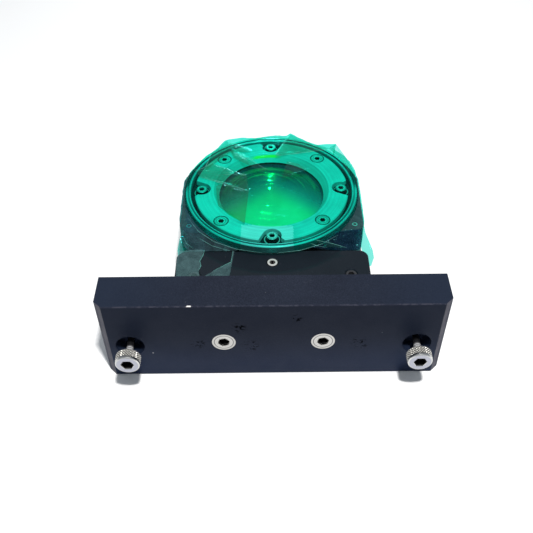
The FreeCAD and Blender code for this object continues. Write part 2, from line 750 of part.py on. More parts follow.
def make_screws():
    seat = "head_top - cap_head_height"
    for name, x_text, y_text in cap_screw_places():
        keep(cap_screw("cap_" + name, "cap", (x_text, y_text, seat), "up"), "barrel_screw_" + name)
    for name, x_text, y_text in ring_screw_places():
        at = (x_text, y_text, "head_top - close_gap")
        screw = countersunk_screw("ring_screw_" + name, "ring_screw", at, "up")
        hex_socket(screw, "ring_screw_socket", "ring_screw_socket_depth", ZERO)
        keep(screw, "retaining_screw_" + name)
    for side, x_text in mirrored_pairs("plate_screw_x"):
        at = (x_text, "close_gap - axis_to_face", "plate_screw_z")
        screw = countersunk_screw("face_screw_" + side, "plate_screw", at, "front")
        star_socket(screw, "plate_screw_lobe_radius", "plate_screw_valley_radius", "plate_screw_socket_depth")
        keep(screw, "plate_screw_" + side)
    for side, x_text in mirrored_pairs(CAPTIVE_X):
        captive_screw(side, x_text)
    for name, x_text, back in set_screw_places():
        at = (x_text, back + " + plate_thickness - axis_to_face", "block_height - set_recess")
        keep(set_screw("set_" + name, "set_radius", "set_length", "set_socket", "set_socket_depth", at),
             "block_set_screw_" + name)
    for side, x_text in mirrored_pairs("yoke_set_x"):
        at = (x_text, "-1 * yoke_set_y", "yoke_top - set_recess")
        keep(set_screw("yoke_set_" + side, "yoke_set_radius", "yoke_set_length", "yoke_set_socket",
                       "yoke_set_socket", at), "yoke_set_screw_" + side)
    for name, x_text, y_text in base_screw_places():
        at = (x_text, y_text, "base_head_height + base_head_recess")
        keep(cap_screw("base_" + name, "base", at, "down"), "base_screw_" + name)


# Protective film: a cap over the round head, with a skirt round the yoke
def make_film():
    def shell(name, grow, lower, cap_top):
        """The space under a film that stands off the yoke and the rim by this much."""
        body = doc.addObject("PartDesign::Body", name + "_yoke")
        plan = sketch_in(body, name + "_plan", lift="film_skirt_foot - " + lower)
        head_outline(plan, ("yoke_front", size("yoke_front")), "( half_width + " + grow + " )",
                     "rear_radius + " + grow)
        pad(body, plan, "yoke_top + " + grow + " - film_skirt_foot + " + lower, name + "_skirt")
        cap = cylinder(name + "_cap", "rim_radius + " + grow, cap_top + " - yoke_top",
                       ("0", "0", "yoke_top"))
        return fuse(name, [body, cap])
    thick = "( close_gap + film_thickness )"
    outer = shell("film_outer", thick, ZERO, "head_top + film_thickness")
    inner = shell("film_inner", "close_gap", "cut_margin", "head_top")
    keep(cut("film", outer, [inner]), "protective_film")


make_front_plate()
make_carrier()
make_yoke()
make_barrel()
make_rim()
make_cell()
make_retaining_ring()
make_lens()
make_screws()
make_film()
doc.recompute()

for thing in doc.Objects:
    if "Invalid" in thing.State or "Error" in thing.State:
        raise RuntimeError("%s did not build: %s" % (thing.Label, thing.State))
for thing in NODES:
    if thing.Shape.isNull() or not thing.Shape.isValid() or not thing.Shape.Solids:
        raise RuntimeError("%s has no valid solid" % thing.Label)

os.makedirs("parts", exist_ok=True)
for thing in NODES:
    thing.Shape.exportStep("parts/%s.step" % thing.Label)
    print("%-32s %10.1f mm3  solids %d" % (thing.Label, thing.Shape.Volume, len(thing.Shape.Solids)))
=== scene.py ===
import math

import bpy
import numpy as np
from mathutils import Matrix, Vector, noise
from mathutils.geometry import delaunay_2d_cdt


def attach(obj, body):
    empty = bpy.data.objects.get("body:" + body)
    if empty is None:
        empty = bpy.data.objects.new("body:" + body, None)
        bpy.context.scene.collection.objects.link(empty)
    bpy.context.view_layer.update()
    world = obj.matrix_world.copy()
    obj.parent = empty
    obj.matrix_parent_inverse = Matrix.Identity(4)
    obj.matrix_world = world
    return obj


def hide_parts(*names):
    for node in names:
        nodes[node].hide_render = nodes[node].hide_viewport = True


# Looks of the focusing lens assembly, in metres; values that end in MM are in millimetres

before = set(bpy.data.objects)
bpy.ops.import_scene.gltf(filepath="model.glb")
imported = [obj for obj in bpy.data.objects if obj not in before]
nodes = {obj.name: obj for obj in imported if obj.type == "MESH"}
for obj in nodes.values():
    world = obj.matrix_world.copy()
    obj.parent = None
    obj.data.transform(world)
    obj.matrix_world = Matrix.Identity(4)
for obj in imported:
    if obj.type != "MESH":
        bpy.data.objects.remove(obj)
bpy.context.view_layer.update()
MM = 0.001

# Sizes taken over from the solids, in millimetres
PLATE_FRONT_MM = -78.0
PLATE_TOP_MM = 46.0
PLATE_HALF_MM = 75.0
BLOCK_SCREW_Y_MM = -46.2
HALF_WIDTH_MM = 43.4
YOKE_TOP_MM = 41.2
YOKE_FRONT_MM = -27.3
YOKE_CORNER_MM = 6.0
REAR_RADIUS_MM = 45.0
RIM_RADIUS_MM = 41.8
RIM_INNER_MM = 39.4
HEAD_TOP_MM = 45.0
APERTURE_MM = 25.6
LUG_GLINT_MM = 3.5
BEVEL_GLINT_X_MM = -2.6
BEVEL_GLINT_MM = 27.3
CAPTIVE_X_MM = 62.65
CAPTIVE_Z_MM = 20.5
CAPTIVE_FACE_MM = -88.5
PLATE_SCREW_X_MM = 21.6
PLATE_SCREW_Z_MM = 22.5
NICK_X_MM = -35.1
PLATE_CHAMFER_MM = 3.4
TURNING_X_MM = -1.4

# Dark marks on the plate's face: across, height and reach
PLATE_MARKS_MM = (
    (-33.0, 22.0, 4.5),
    (-14.7, 32.0, 4.5),
    (-10.0, 20.0, 5.0),
    (38.0, 21.5, 5.5),
    (10.0, 38.0, 3.5),
)

# Camera: position, angles in degrees, and focal length in pixels of the square picture
IMAGE_SIDE = 533
FOCAL_PIXELS = 727.0
SENSOR_WIDTH = 36.0
CAMERA_AT = Vector((-1.8, -278.0, 270.2)) * MM
PITCH, YAW, ROLL = (math.radians(angle) for angle in (45.16, -0.22, -0.77))

forward = Vector((math.sin(YAW) * math.cos(PITCH), math.cos(YAW) * math.cos(PITCH), -math.sin(PITCH)))
level_right = Vector((math.cos(YAW), -math.sin(YAW), 0))
level_down = forward.cross(level_right)
image_right = level_right * math.cos(ROLL) - level_down * math.sin(ROLL)
image_down = level_right * math.sin(ROLL) + level_down * math.cos(ROLL)


def placed(name, data):
    """A new object of the scene that shows the given data."""
    made = bpy.data.objects.new(name, data)
    bpy.context.scene.collection.objects.link(made)
    return made


def make_camera():
    data = bpy.data.cameras.new("camera")
    data.sensor_width = SENSOR_WIDTH
    data.lens = FOCAL_PIXELS / IMAGE_SIDE * SENSOR_WIDTH
    data.clip_start = 0.01
    camera = placed("camera", data)
    turn = Matrix((image_right, -image_down, -forward)).transposed()
    camera.matrix_world = Matrix.Translation(CAMERA_AT) @ turn.to_4x4()
    bpy.context.scene.camera = camera


def pixel_ray(px, py):
    """Direction from the camera through a pixel of the square picture."""
    across = (px - IMAGE_SIDE / 2) / FOCAL_PIXELS
    down = (py - IMAGE_SIDE / 2) / FOCAL_PIXELS
    return forward + image_right * across + image_down * down


def at_level(px, py, height_mm):
    """Point in millimetres where a pixel's ray meets a level plane."""
    ray = pixel_ray(px, py)
    return (CAMERA_AT + ray * ((height_mm * MM - CAMERA_AT.z) / ray.z)) / MM


# Light and floor, in metres
FLOOR_HALF = 3.0
FLOOR_TONE = (0.93, 0.93, 0.93, 1)
SKY_TONE = (0.84, 0.92, 1.0, 1)
SKY_STRENGTH = 0.36
LIT_POINT = (0.0, -0.01, 0.03)

# Lamps: name, place, side, power and colour
LAMPS = (
    ("overhead", (0.09, -0.33, 0.88), 0.06, 9.2, (1.0, 0.985, 0.96)),
    ("rear_spot", (0.003, 0.53, 0.3), 0.02, 0.55, (1.0, 1.0, 1.0)),
)


def make_lamp(name, at, side, power, colour):
    data = bpy.data.lights.new(name, "AREA")
    data.shape = "RECTANGLE"
    data.size = data.size_y = side
    data.energy = power
    data.color = colour
    lamp = placed(name, data)
    lamp.location = at
    lamp.rotation_euler = (Vector(LIT_POINT) - Vector(at)).to_track_quat("-Z", "Y").to_euler()


def make_studio():
    world = bpy.data.worlds.new("studio")
    bpy.context.scene.world = world
    world.use_nodes = True
    background = world.node_tree.nodes["Background"]
    background.inputs["Color"].default_value = SKY_TONE
    background.inputs["Strength"].default_value = SKY_STRENGTH
    for lamp in LAMPS:
        make_lamp(*lamp)
    mesh = bpy.data.meshes.new("floor")
    corners = [(x * FLOOR_HALF, y * FLOOR_HALF, 0) for x, y in ((-1, -1), (1, -1), (1, 1), (-1, 1))]
    mesh.from_pydata(corners, [], [(0, 1, 2, 3)])
    floor = placed("floor", mesh)
    paint = Paint("floor_paper")
    paint.put(Base_Color=FLOOR_TONE, Roughness=0.9)
    mesh.materials.append(paint.material)
    scene = bpy.context.scene
    scene.view_settings.view_transform = "Standard"
    scene.view_settings.look = "None"


# Colours in linear light
SCUFF_TONE = (0.09, 0.1, 0.12)
SPECK_TONE = (0.16, 0.165, 0.17)
# Painted shade on screw heads: socket, its mouth, outer edge and thin lines
SOCKET_TONE = (0.004, 0.004, 0.005)
MOUTH_TONE = (0.006, 0.006, 0.007)
HEAD_EDGE_TONE = (0.02, 0.02, 0.022)
HEAD_LINE_TONE = (0.08, 0.08, 0.085)
# Painted light and shade on the plate: lighter ends, lighter bottom and a darker top of the front face
PLATE_OUTWARD_TONE = (0.015, 0.022, 0.04)
PLATE_LOWER_TONE = (0.01, 0.018, 0.048)
PLATE_UPPER_TONE = (0.0022, 0.0038, 0.0105)
# Painted light on the plate's chamfers
CHAMFER_TONE = (0.014, 0.016, 0.036)
CHAMFER_PALE_TONE = (0.045, 0.042, 0.062)
# Painted highlight along the plate's top front edge
EDGE_HIGHLIGHT_TONE = (0.038, 0.039, 0.054)
MARK_TONE = (0.0008, 0.001, 0.0016)
PLATE_DUST_TONE = (0.34, 0.35, 0.38)
NICK_TONE = (0.8, 0.78, 0.76)
# Painted highlights: a ring round each barrel screw and an arc on the ring's bevel
LUG_GLINT_TONE = (0.5, 0.52, 0.5)
BEVEL_GLINT_TONE = (1.0, 1.0, 0.1)
# Painted shade and highlights on the rim: darker front, light lines and a dark rear edge
RIM_FRONT_TONE = (0.045, 0.06, 0.085)
RIM_LINE_TONE = (0.85, 0.9, 0.95)
RIM_REAR_TONE = (0.008, 0.016, 0.03)
RUBBER_DARK, RUBBER_LIGHT = (0.012, 0.012, 0.012), (0.022, 0.022, 0.022)
LENS_CLEAR = (0.97, 0.92, 0.6)
# Painted light and shade seen in the lens: bluer towards the rear, lighter green towards the front
LENS_REAR_SHADE, LENS_FRONT_LIGHT = (0.3, 0.62, 0.95), (0.4, 0.9, 0.5)
LENS_GLOSS = (0.12, 0.95, 0.12, 1)

# Depth of the grain and of the turning rings, in metres
FINE_RELIEF = 0.0002
LENS_RELIEF = 0.0007


# Materials
class Paint:
    """A Principled material with short calls for the nodes it is made of."""

    def __init__(self, name):
        self.material = bpy.data.materials.new(name)
        self.material.use_nodes = True
        self.tree = self.material.node_tree
        self.shader = self.tree.nodes["Principled BSDF"]
        self.output = self.tree.nodes["Material Output"]
        self.place = self.node("TexCoord").outputs["Object"]

    def link(self, value, socket):
        if isinstance(value, bpy.types.NodeSocket):
            self.tree.links.new(value, socket)
        elif isinstance(value, (tuple, list)) and len(value) == 3 and socket.type == "RGBA":
            socket.default_value = (*value, 1)
        else:
            socket.default_value = value

    def put(self, **values):
        """Sets or links sockets of the Principled shader, named with underscores for spaces."""
        for name, value in values.items():
            self.link(value, self.shader.inputs[name.replace("_", " ")])

    def colour(self):
        """The socket that colours the Principled shader so far."""
        return self.shader.inputs["Base Color"].links[0].from_socket

    def node(self, kind, settings=None, **inputs):
        made = self.tree.nodes.new("ShaderNode" + kind)
        for name, value in (settings or {}).items():
            setattr(made, name, value)
        for name, value in inputs.items():
            self.link(value, made.inputs[name.replace("_", " ")])
        return made

    def calc(self, kind, *values):
        made = self.node("Math", {"operation": kind})
        for index, value in enumerate(values):
            self.link(value, made.inputs[index])
        return made.outputs[0]

    def times(self, first, second):
        return self.calc("MULTIPLY", first, second)

    def less(self, first, second):
        return self.calc("SUBTRACT", first, second)

    def away(self, value, place):
        """How far a value lies from a place, to either side."""
        return self.calc("ABSOLUTE", self.less(value, place))

    def span(self, first, second):
        """Length across two values at right angles."""
        return self.calc("SQRT", self.calc("ADD", self.times(first, first), self.times(second, second)))

    def noise(self, scale, detail=2.0, roughness=0.5, place=None, distortion=0.0):
        made = self.node("TexNoise", Vector=place or self.place, Scale=scale, Detail=detail,
                         Roughness=roughness, Distortion=distortion)
        return made.outputs["Fac"]

    def rings(self, radius, scale, detail, roughness):
        """Noise that changes with the distance from an axis alone."""
        made = self.node("TexNoise", {"noise_dimensions": "1D"}, W=radius, Scale=scale, Detail=detail,
                         Roughness=roughness)
        return made.outputs["Fac"]

    def ramp(self, value, low, high, start=0.0, end=1.0):
        made = self.node("MapRange", {"interpolation_type": "SMOOTHSTEP"})
        for index, part in enumerate((value, low, high, start, end)):
            self.link(part, made.inputs[index])
        return made.outputs[0]

    def ramp_mm(self, value, low, high, start=0.0, end=1.0):
        """A ramp between two lengths in millimetres."""
        return self.ramp(value, low * MM, high * MM, start, end)

    def mix(self, factor, first, second):
        made = self.node("Mix", {"data_type": "RGBA"})
        self.link(factor, made.inputs[0])
        self.link(first, made.inputs[6])
        self.link(second, made.inputs[7])
        return made.outputs[2]

    def parts(self, place=None):
        made = self.node("SeparateXYZ", Vector=place or self.place)
        return made.outputs

    def moved(self, offset, scale=(1, 1, 1)):
        made = self.node("Mapping", Vector=self.place)
        made.inputs["Location"].default_value = offset
        made.inputs["Scale"].default_value = scale
        return made.outputs["Vector"]

    def radius(self, x_mm=0.0, y_mm=0.0, z_mm=None):
        """Distance in metres from an upright axis, or from a level axis along Y where z is given."""
        x, y, z = self.parts(self.moved((-x_mm * MM, -y_mm * MM, -(z_mm or 0.0) * MM)))
        return self.span(x, y if z_mm is None else z)

    def bump(self, height, strength, distance, after=None):
        made = self.node("Bump", Height=height, Strength=strength, Distance=distance)
        if after:
            self.link(after, made.inputs["Normal"])
        return made.outputs["Normal"]

    def layered(self, share, below, above):
        """One shader over another, by a share."""
        made = self.node("MixShader", Fac=share)
        self.link(below.outputs[0], made.inputs[1])
        self.link(above.outputs[0], made.inputs[2])
        return made

    def see_through(self, clear, haze, haze_share, gloss_share):
        """Puts out a clear body with haze in it and the Principled shader as its gloss."""
        body = self.layered(haze_share, clear, haze)
        glossy = self.layered(gloss_share, body, self.shader)
        self.link(glossy.outputs[0], self.output.inputs["Surface"])


def scaled(colour, factor):
    return tuple(part * factor for part in colour)


def dust(paint, scale, size, share):
    """Mask of scattered specks: one speck in each chosen Voronoi cell."""
    cells = paint.node("TexVoronoi", Vector=paint.place, Scale=scale, Randomness=1.0)
    spot = paint.ramp(cells.outputs["Distance"], size, size * 0.4)
    chosen = paint.calc("GREATER_THAN", paint.parts(cells.outputs["Color"])[0], 1 - share)
    return paint.times(spot, chosen)


def anodised(name, dark, light, roughness, grain, specks):
    """Blue-black anodised aluminium: bead-blasted grain, faint cloudy tone and a little dust."""
    paint = Paint(name)
    cloud = paint.noise(34.0, 4.0, 0.6)
    fine = paint.noise(2600.0, 3.0, 0.7)
    tone = paint.mix(paint.ramp(cloud, 0.32, 0.68), dark, light)
    tone = paint.mix(paint.ramp(fine, 0.35, 0.75, 0.0, 5.0 * grain), tone, scaled(light, 3.0))
    speck = dust(paint, 330.0, 0.06, specks * 0.3)
    scuff = paint.noise(160.0, 5.0, 0.75, paint.moved((0, 0, 0), (1.0, 1.0, 3.0)))
    scuff = paint.ramp(scuff, 0.62, 0.8, 0.0, 0.5)
    worn = paint.mix(paint.times(scuff, specks), tone, SCUFF_TONE)
    paint.put(Base_Color=paint.mix(speck, worn, SPECK_TONE))
    uneven = paint.noise(90.0, 5.0, 0.65)
    paint.put(Roughness=paint.ramp(uneven, 0.3, 0.7, roughness - 0.06, roughness + 0.07))
    paint.put(Specular_IOR_Level=0.3, Specular_Tint=(0.72, 0.84, 1.0, 1))
    paint.put(Normal=paint.bump(fine, grain, FINE_RELIEF))
    return paint


def turned_metal(name, colour, roughness, rings, axis=(0.0, 0.0, None), strength=0.12, metallic=1.0):
    """Turned bright metal: fine rings about an axis and a cloudy gloss."""
    paint = Paint(name)
    line = paint.rings(paint.radius(*axis), rings, 3.0, 0.7)
    cloud = paint.noise(55.0, 4.0, 0.6)
    tone = paint.mix(paint.ramp(line, 0.3, 0.7), scaled(colour, 0.8), colour)
    tone = paint.mix(paint.ramp(cloud, 0.35, 0.7, 0.0, 0.25), tone, scaled(colour, 0.62))
    paint.put(Base_Color=tone, Metallic=metallic)
    paint.put(Roughness=paint.ramp(cloud, 0.3, 0.7, roughness - 0.05, roughness + 0.07))
    paint.put(Normal=paint.bump(line, strength, FINE_RELIEF))
    return paint


def socket_shade(paint, socket, rim, lines=(), facing_front=False, mouth=0.0):
    """Painted shade on a screw head: dark socket, dark mouth round it, dark outer edge and thin dark lines,
    placed by shares of the screw's own size.
    """
    x, y, z = paint.parts(paint.node("TexCoord").outputs["Generated"])
    other, inward = (z, y) if facing_front else (y, paint.less(1.0, z))
    radius = paint.span(paint.less(x, 0.5), paint.less(other, 0.5))
    deep = paint.times(paint.ramp(radius, socket + 0.02, socket), paint.ramp(inward, 0.01, 0.03))
    base = paint.mix(deep, paint.colour(), SOCKET_TONE)
    base = paint.mix(paint.ramp(radius, mouth, mouth - 0.02, 0.0, 0.9), base, MOUTH_TONE)
    base = paint.mix(paint.ramp(radius, rim, rim + 0.02), base, HEAD_EDGE_TONE)
    for at in lines:
        gap = paint.away(radius, at)
        base = paint.mix(paint.ramp(gap, 0.022, 0.01, 0.0, 0.8), base, HEAD_LINE_TONE)
    paint.put(Base_Color=base)
    metal = paint.shader.inputs["Metallic"].default_value
    paint.put(Metallic=paint.ramp(deep, 0.0, 1.0, metal, 0.0), Specular_IOR_Level=0.2)


def finish(paint, *starts):
    """Puts a material into every slot of the CAD nodes whose names start in one of these ways."""
    for name in nodes:
        if name.startswith(starts):
            for slot in nodes[name].material_slots:
                slot.material = paint.material


def paint_plate():
    """Front plate: as the other anodised parts, with painted light and shade on its face and chamfers, a
    patchy painted highlight along the top front edge, a nick and wiped scuffs.
    """
    paint = anodised("plate_anodised", (0.0075, 0.0093, 0.016), (0.011, 0.0138, 0.0225), 0.46, 0.09, 0.6)
    paint.put(Specular_Tint=(0.36, 0.5, 0.86, 1))
    x, y, z = paint.parts()
    aside = paint.calc("ABSOLUTE", x)
    # Painted light and shade: lighter towards both ends and towards the bottom, darker at the top of the
    # front face
    outward = paint.ramp_mm(aside, 0.3 * PLATE_HALF_MM, PLATE_HALF_MM, 0.0, 0.6)
    base = paint.mix(outward, paint.colour(), PLATE_OUTWARD_TONE)
    lower = paint.ramp_mm(z, 0.75 * PLATE_TOP_MM, 0.1 * PLATE_TOP_MM, 0.0, 0.5)
    base = paint.mix(lower, base, PLATE_LOWER_TONE)
    facing = paint.ramp_mm(y, PLATE_FRONT_MM + 0.5, PLATE_FRONT_MM + 0.2)
    upper = paint.ramp_mm(z, 0.1 * PLATE_TOP_MM, 0.8 * PLATE_TOP_MM, 0.0, 0.75)
    base = paint.mix(paint.times(facing, upper), base, PLATE_UPPER_TONE)

    # Painted light on the chamfers at both ends, with a paler band on them
    past = paint.less(aside, (PLATE_HALF_MM - PLATE_CHAMFER_MM) * MM)
    behind = paint.less(paint.less(y, PLATE_FRONT_MM * MM), past)
    chamfer = paint.times(paint.ramp_mm(past, 0.2, 0.5), paint.ramp_mm(behind, 0.3, 0.1))
    base = paint.mix(chamfer, base, CHAMFER_TONE)
    paler = paint.times(chamfer, paint.ramp_mm(past, 2.6, 1.8))
    base = paint.mix(paler, base, CHAMFER_PALE_TONE)

    # Painted highlight along the top front edge, broken into patches
    front = paint.ramp_mm(y, PLATE_FRONT_MM + 0.62, PLATE_FRONT_MM + 0.4)
    top_edge = paint.ramp_mm(z, PLATE_TOP_MM - 0.62, PLATE_TOP_MM - 0.35)
    patchy = paint.ramp(paint.noise(420.0, 4.0, 0.7), 0.42, 0.62)
    edge_highlight = paint.times(paint.times(front, top_edge), paint.ramp(patchy, 0.0, 1.0, 0.35, 1.0))
    base = paint.mix(edge_highlight, base, EDGE_HIGHLIGHT_TONE)

    fleck = paint.noise(720.0, 3.0, 0.6, paint.moved((0.01, 0, 0.02), (0.8, 1.0, 1.1)), 0.6)
    marked = 0.0
    for centre_x, centre_z, reach in PLATE_MARKS_MM:
        close = paint.ramp_mm(paint.radius(centre_x, 0.0, centre_z), reach, 0.3 * reach)
        mark = paint.times(paint.times(close, facing), paint.ramp(fleck, 0.53, 0.6))
        base = paint.mix(mark, base, MARK_TONE)
        marked = paint.calc("MAXIMUM", mark, marked)
    paint.put(Specular_IOR_Level=paint.ramp(marked, 0.0, 1.0, 0.12, 0.0))
    base = paint.mix(dust(paint, 170.0, 0.07, 0.05), base, PLATE_DUST_TONE)

    ragged = paint.calc("ADD", paint.away(x, NICK_X_MM * MM), paint.times(patchy, 0.6 * MM))
    nick = paint.ramp_mm(ragged, 1.4, 0.9)
    at_edge = paint.times(paint.ramp_mm(z, PLATE_TOP_MM - 0.4, PLATE_TOP_MM - 0.3),
                          paint.ramp_mm(y, PLATE_FRONT_MM + 0.7, PLATE_FRONT_MM + 0.5))
    paint.put(Base_Color=paint.mix(paint.times(nick, at_edge), base, NICK_TONE))
    finish(paint, "front_plate")


def paint_black_parts():
    """The anodised parts behind the plate; the barrel has a painted highlight ring round each of its screws,
    and the lens cell is painted lighter as painted light.
    """
    block = anodised("carrier_anodised", (0.004, 0.006, 0.0085), (0.0065, 0.009, 0.0125), 0.5, 0.08, 0.3)
    block.put(Specular_IOR_Level=0.13, Specular_Tint=(0.5, 0.75, 1.0, 1))
    finish(block, "carrier")
    yoke = anodised("yoke_anodised", (0.008, 0.011, 0.018), (0.013, 0.018, 0.028), 0.42, 0.02, 0.3)
    finish(yoke, "lens_yoke")
    barrel = anodised("barrel_anodised", (0.005, 0.007, 0.01), (0.009, 0.011, 0.015), 0.45, 0.05, 0.2)
    base = barrel.colour()
    # Painted highlight: a light ring round each barrel screw
    for place in ("front", "right", "rear", "left"):
        corners = [Vector(corner) for corner in nodes["barrel_screw_" + place].bound_box]
        centre = sum(corners, Vector()) / len(corners) / MM
        gap = barrel.away(barrel.radius(centre.x, centre.y), LUG_GLINT_MM * MM)
        base = barrel.mix(barrel.ramp_mm(gap, 0.3, 0.15, 0.0, 0.8), base, LUG_GLINT_TONE)
    barrel.put(Base_Color=base)
    finish(barrel, "lens_barrel")
    # Painted light: the lens cell is much lighter than the other black anodised parts
    cell = anodised("cell_anodised", (0.05, 0.07, 0.085), (0.065, 0.09, 0.105), 0.5, 0.05, 0.1)
    finish(cell, "lens_cell")


def paint_bright_rings():
    """The retaining ring with a painted glint on its bevel, and the rim ring with painted highlight lines,
    painted shade towards its front and a painted dark rear edge.
    """
    ring = turned_metal("ring_turned", (0.88, 0.86, 0.88), 0.55, 900.0, metallic=0.25)
    x, y, _ = ring.parts()
    gap = ring.away(ring.radius(), BEVEL_GLINT_MM * MM)
    aside = ring.away(x, BEVEL_GLINT_X_MM * MM)
    glint = ring.times(ring.ramp_mm(gap, 0.5, 0.3), ring.ramp_mm(aside, 8.5, 4.0))
    glint = ring.times(glint, ring.ramp_mm(y, 0.0, 10.0))
    ring.put(Base_Color=ring.mix(glint, ring.colour(), BEVEL_GLINT_TONE))
    finish(ring, "retaining_ring")

    rim = turned_metal("rim_turned", (0.42, 0.47, 0.5), 0.4, 1400.0, metallic=0.5)
    y = rim.parts()[1]
    radius = rim.radius()
    # Painted shade: the rim darkens towards the front
    base = rim.mix(rim.ramp_mm(y, 4.0, -30.0, 0.0, 0.9), rim.colour(), RIM_FRONT_TONE)
    # Painted highlight lines near the rim's inner and outer edges
    for line, width in ((RIM_INNER_MM + 0.35, 0.28), (RIM_RADIUS_MM - 0.5, 0.55)):
        gap = rim.away(radius, line * MM)
        base = rim.mix(rim.ramp_mm(gap, width, width * 0.4, 0.0, 0.8), base, RIM_LINE_TONE)
    # Painted shade: a dark outer edge at the rear, with less gloss
    outer_edge = rim.ramp_mm(radius, RIM_RADIUS_MM - 1.5, RIM_RADIUS_MM - 1.2, 0.0, 0.95)
    dark_edge = rim.times(outer_edge, rim.ramp_mm(y, -4.0, 4.0))
    base = rim.mix(dark_edge, base, RIM_REAR_TONE)
    rim.put(Base_Color=base, Metallic=rim.ramp(dark_edge, 0.0, 1.0, 0.5, 0.0))
    rim.put(Specular_IOR_Level=rim.ramp(dark_edge, 0.0, 1.0, 0.5, 0.1))
    finish(rim, "rim_ring")


def paint_screws():
    for side, sign in (("left", -1), ("right", 1)):
        axis = (sign * PLATE_SCREW_X_MM, 0.0, PLATE_SCREW_Z_MM)
        paint = turned_metal("plate_screw_steel_" + side, (0.6, 0.59, 0.57), 0.34, 1300.0, axis)
        socket_shade(paint, 0.31, 0.485, (0.4,), True, 0.245)
        finish(paint, "plate_screw_" + side)
    axis = (0.0, BLOCK_SCREW_Y_MM, None)
    bright = turned_metal("set_screw_steel", (0.9, 0.89, 0.86), 0.4, 2200.0, axis, metallic=0.6)
    socket_shade(bright, 0.27, 0.44)
    finish(bright, "block_set_screw_centre")
    oxide = anodised("oxide_steel", (0.012, 0.012, 0.013), (0.03, 0.03, 0.033), 0.4, 0.05, 0.2)
    finish(oxide, "block_set_screw_left", "block_set_screw_right", "base_screw")
    steel = turned_metal("small_screw_steel", (0.8, 0.8, 0.78), 0.4, 2600.0, metallic=0.6)
    socket_shade(steel, 0.36, 0.47, (0.42,))
    finish(steel, "barrel_screw", "yoke_set_screw", "captive_screw")
    flush = turned_metal("flush_screw_steel", (0.85, 0.85, 0.83), 0.4, 2600.0, metallic=0.4)
    socket_shade(flush, 0.36, 0.43, (0.3, 0.4))
    finish(flush, "retaining_screw")


def paint_seals():
    rubber = Paint("seal_rubber")
    rubber.put(Base_Color=rubber.mix(rubber.noise(700.0), RUBBER_DARK, RUBBER_LIGHT))
    rubber.put(Roughness=rubber.ramp(rubber.noise(900.0), 0.3, 0.7, 0.55, 0.75))
    finish(rubber, "lens_seal")


def paint_lens():
    """Amber optic with very fine turning rings; light passes straight through its tint, and its haze carries
    painted light and shade: lighter, thicker and greener towards the front centre, bluer and thinner towards
    the rear and sides.
    """
    paint = Paint("lens_amber")
    line = paint.rings(paint.radius(TURNING_X_MM), 420.0, 1.0, 0.5)
    clear = paint.node("BsdfTransparent", Color=LENS_CLEAR)
    x, y, _ = paint.parts()
    outward = paint.calc("MULTIPLY_ADD", paint.calc("ABSOLUTE", x), 0.75, y)
    # Painted light and shade: the haze is lighter, greener and thicker towards the front centre, bluer and
    # thinner towards the rear and sides
    pale = paint.mix(paint.ramp_mm(outward, 20.0, -4.0), LENS_REAR_SHADE, LENS_FRONT_LIGHT)
    haze = paint.node("BsdfDiffuse", Color=pale, Roughness=0.5)
    painted_light_share = paint.ramp_mm(outward, 24.0, -12.0, 0.12, 0.85)
    paint.put(Base_Color=LENS_GLOSS, Metallic=1.0, Roughness=0.055)
    paint.put(Normal=paint.bump(line, 1.0, LENS_RELIEF))
    height = paint.parts(paint.node("TexCoord").outputs["Generated"])[2]
    polished = paint.times(paint.ramp_mm(y, -14.0, 4.0, 0.06, 0.26), paint.ramp(height, 0.45, 0.55))
    paint.see_through(clear, haze, painted_light_share, polished)
    finish(paint, "focusing_lens")


# Mesh helpers: every list of points is in millimetres
def new_piece(name, points_mm, faces, paint, body="assembly", smooth=True):
    mesh = bpy.data.meshes.new(name)
    mesh.from_pydata([tuple(part * MM for part in point) for point in points_mm], [], faces)
    mesh.polygons.foreach_set("use_smooth", [smooth] * len(faces))
    mesh.update()
    piece = placed(name, mesh)
    mesh.materials.append(paint.material)
    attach(piece, body)
    return piece


def grid_faces(rows, columns, wrap):
    """Quads between the points of a grid that is stored row by row."""
    faces = []
    for row in range(rows - 1):
        for column in range(columns if wrap else columns - 1):
            after = (column + 1) % columns
            low, high = row * columns, (row + 1) * columns
            faces.append((low + column, low + after, high + after, high + column))
    return faces


def lathe(name, rows, turns, place, paint, body):
    """A turned piece along Y: each row gives depth and a radius, or a function of angle and depth."""
    points = []
    for depth, radius in rows:
        for step in range(turns):
            angle = 2 * math.pi * step / turns
            size = radius(angle, depth) if callable(radius) else radius
            points.append((place[0] + size * math.cos(angle),
                           place[1] + depth,
                           place[2] + size * math.sin(angle)))
    faces = grid_faces(len(rows), turns, True)
    for row, flip in ((0, False), (len(rows) - 1, True)):
        ring = list(range(row * turns, (row + 1) * turns))
        faces.append(ring if flip else ring[::-1])
    return new_piece(name, points, faces, paint, body, smooth=False)


# Captive screws: knurled head with hexagon socket, slim neck, shank and thread
CAPTIVE_TURNS = 144
HEAD_RADIUS_MM = 5.3
KNURL_DEPTH_MM = 0.34
KNURL_COUNT = 28
KNURL_FROM_MM, KNURL_TO_MM = 1.35, 4.75
SOCKET_ACROSS_MM = 5.0
SOCKET_DEPTH_MM = 3.2
NECK_RADIUS_MM = 1.5
SHANK_RADIUS_MM = 2.05
THREAD_RADIUS_MM = 2.5
THREAD_PITCH_MM = 0.8
THREAD_DEPTH_MM = 0.42
HEAD_LENGTH_MM = 5.8
SHANK_FROM_MM = 20.2
THREAD_FROM_MM = 28.2
THREAD_TO_MM = 34.2
THREAD_POINT_MM = 0.6
NECK_PITCH_MM = 0.9
# Reach of the painted shade on the neck where it lies in the bore, from the head's back
NECK_SHADE_MM = (3.2, 4.4)
KNURL_ROWS = 27
THREAD_ROWS = 76

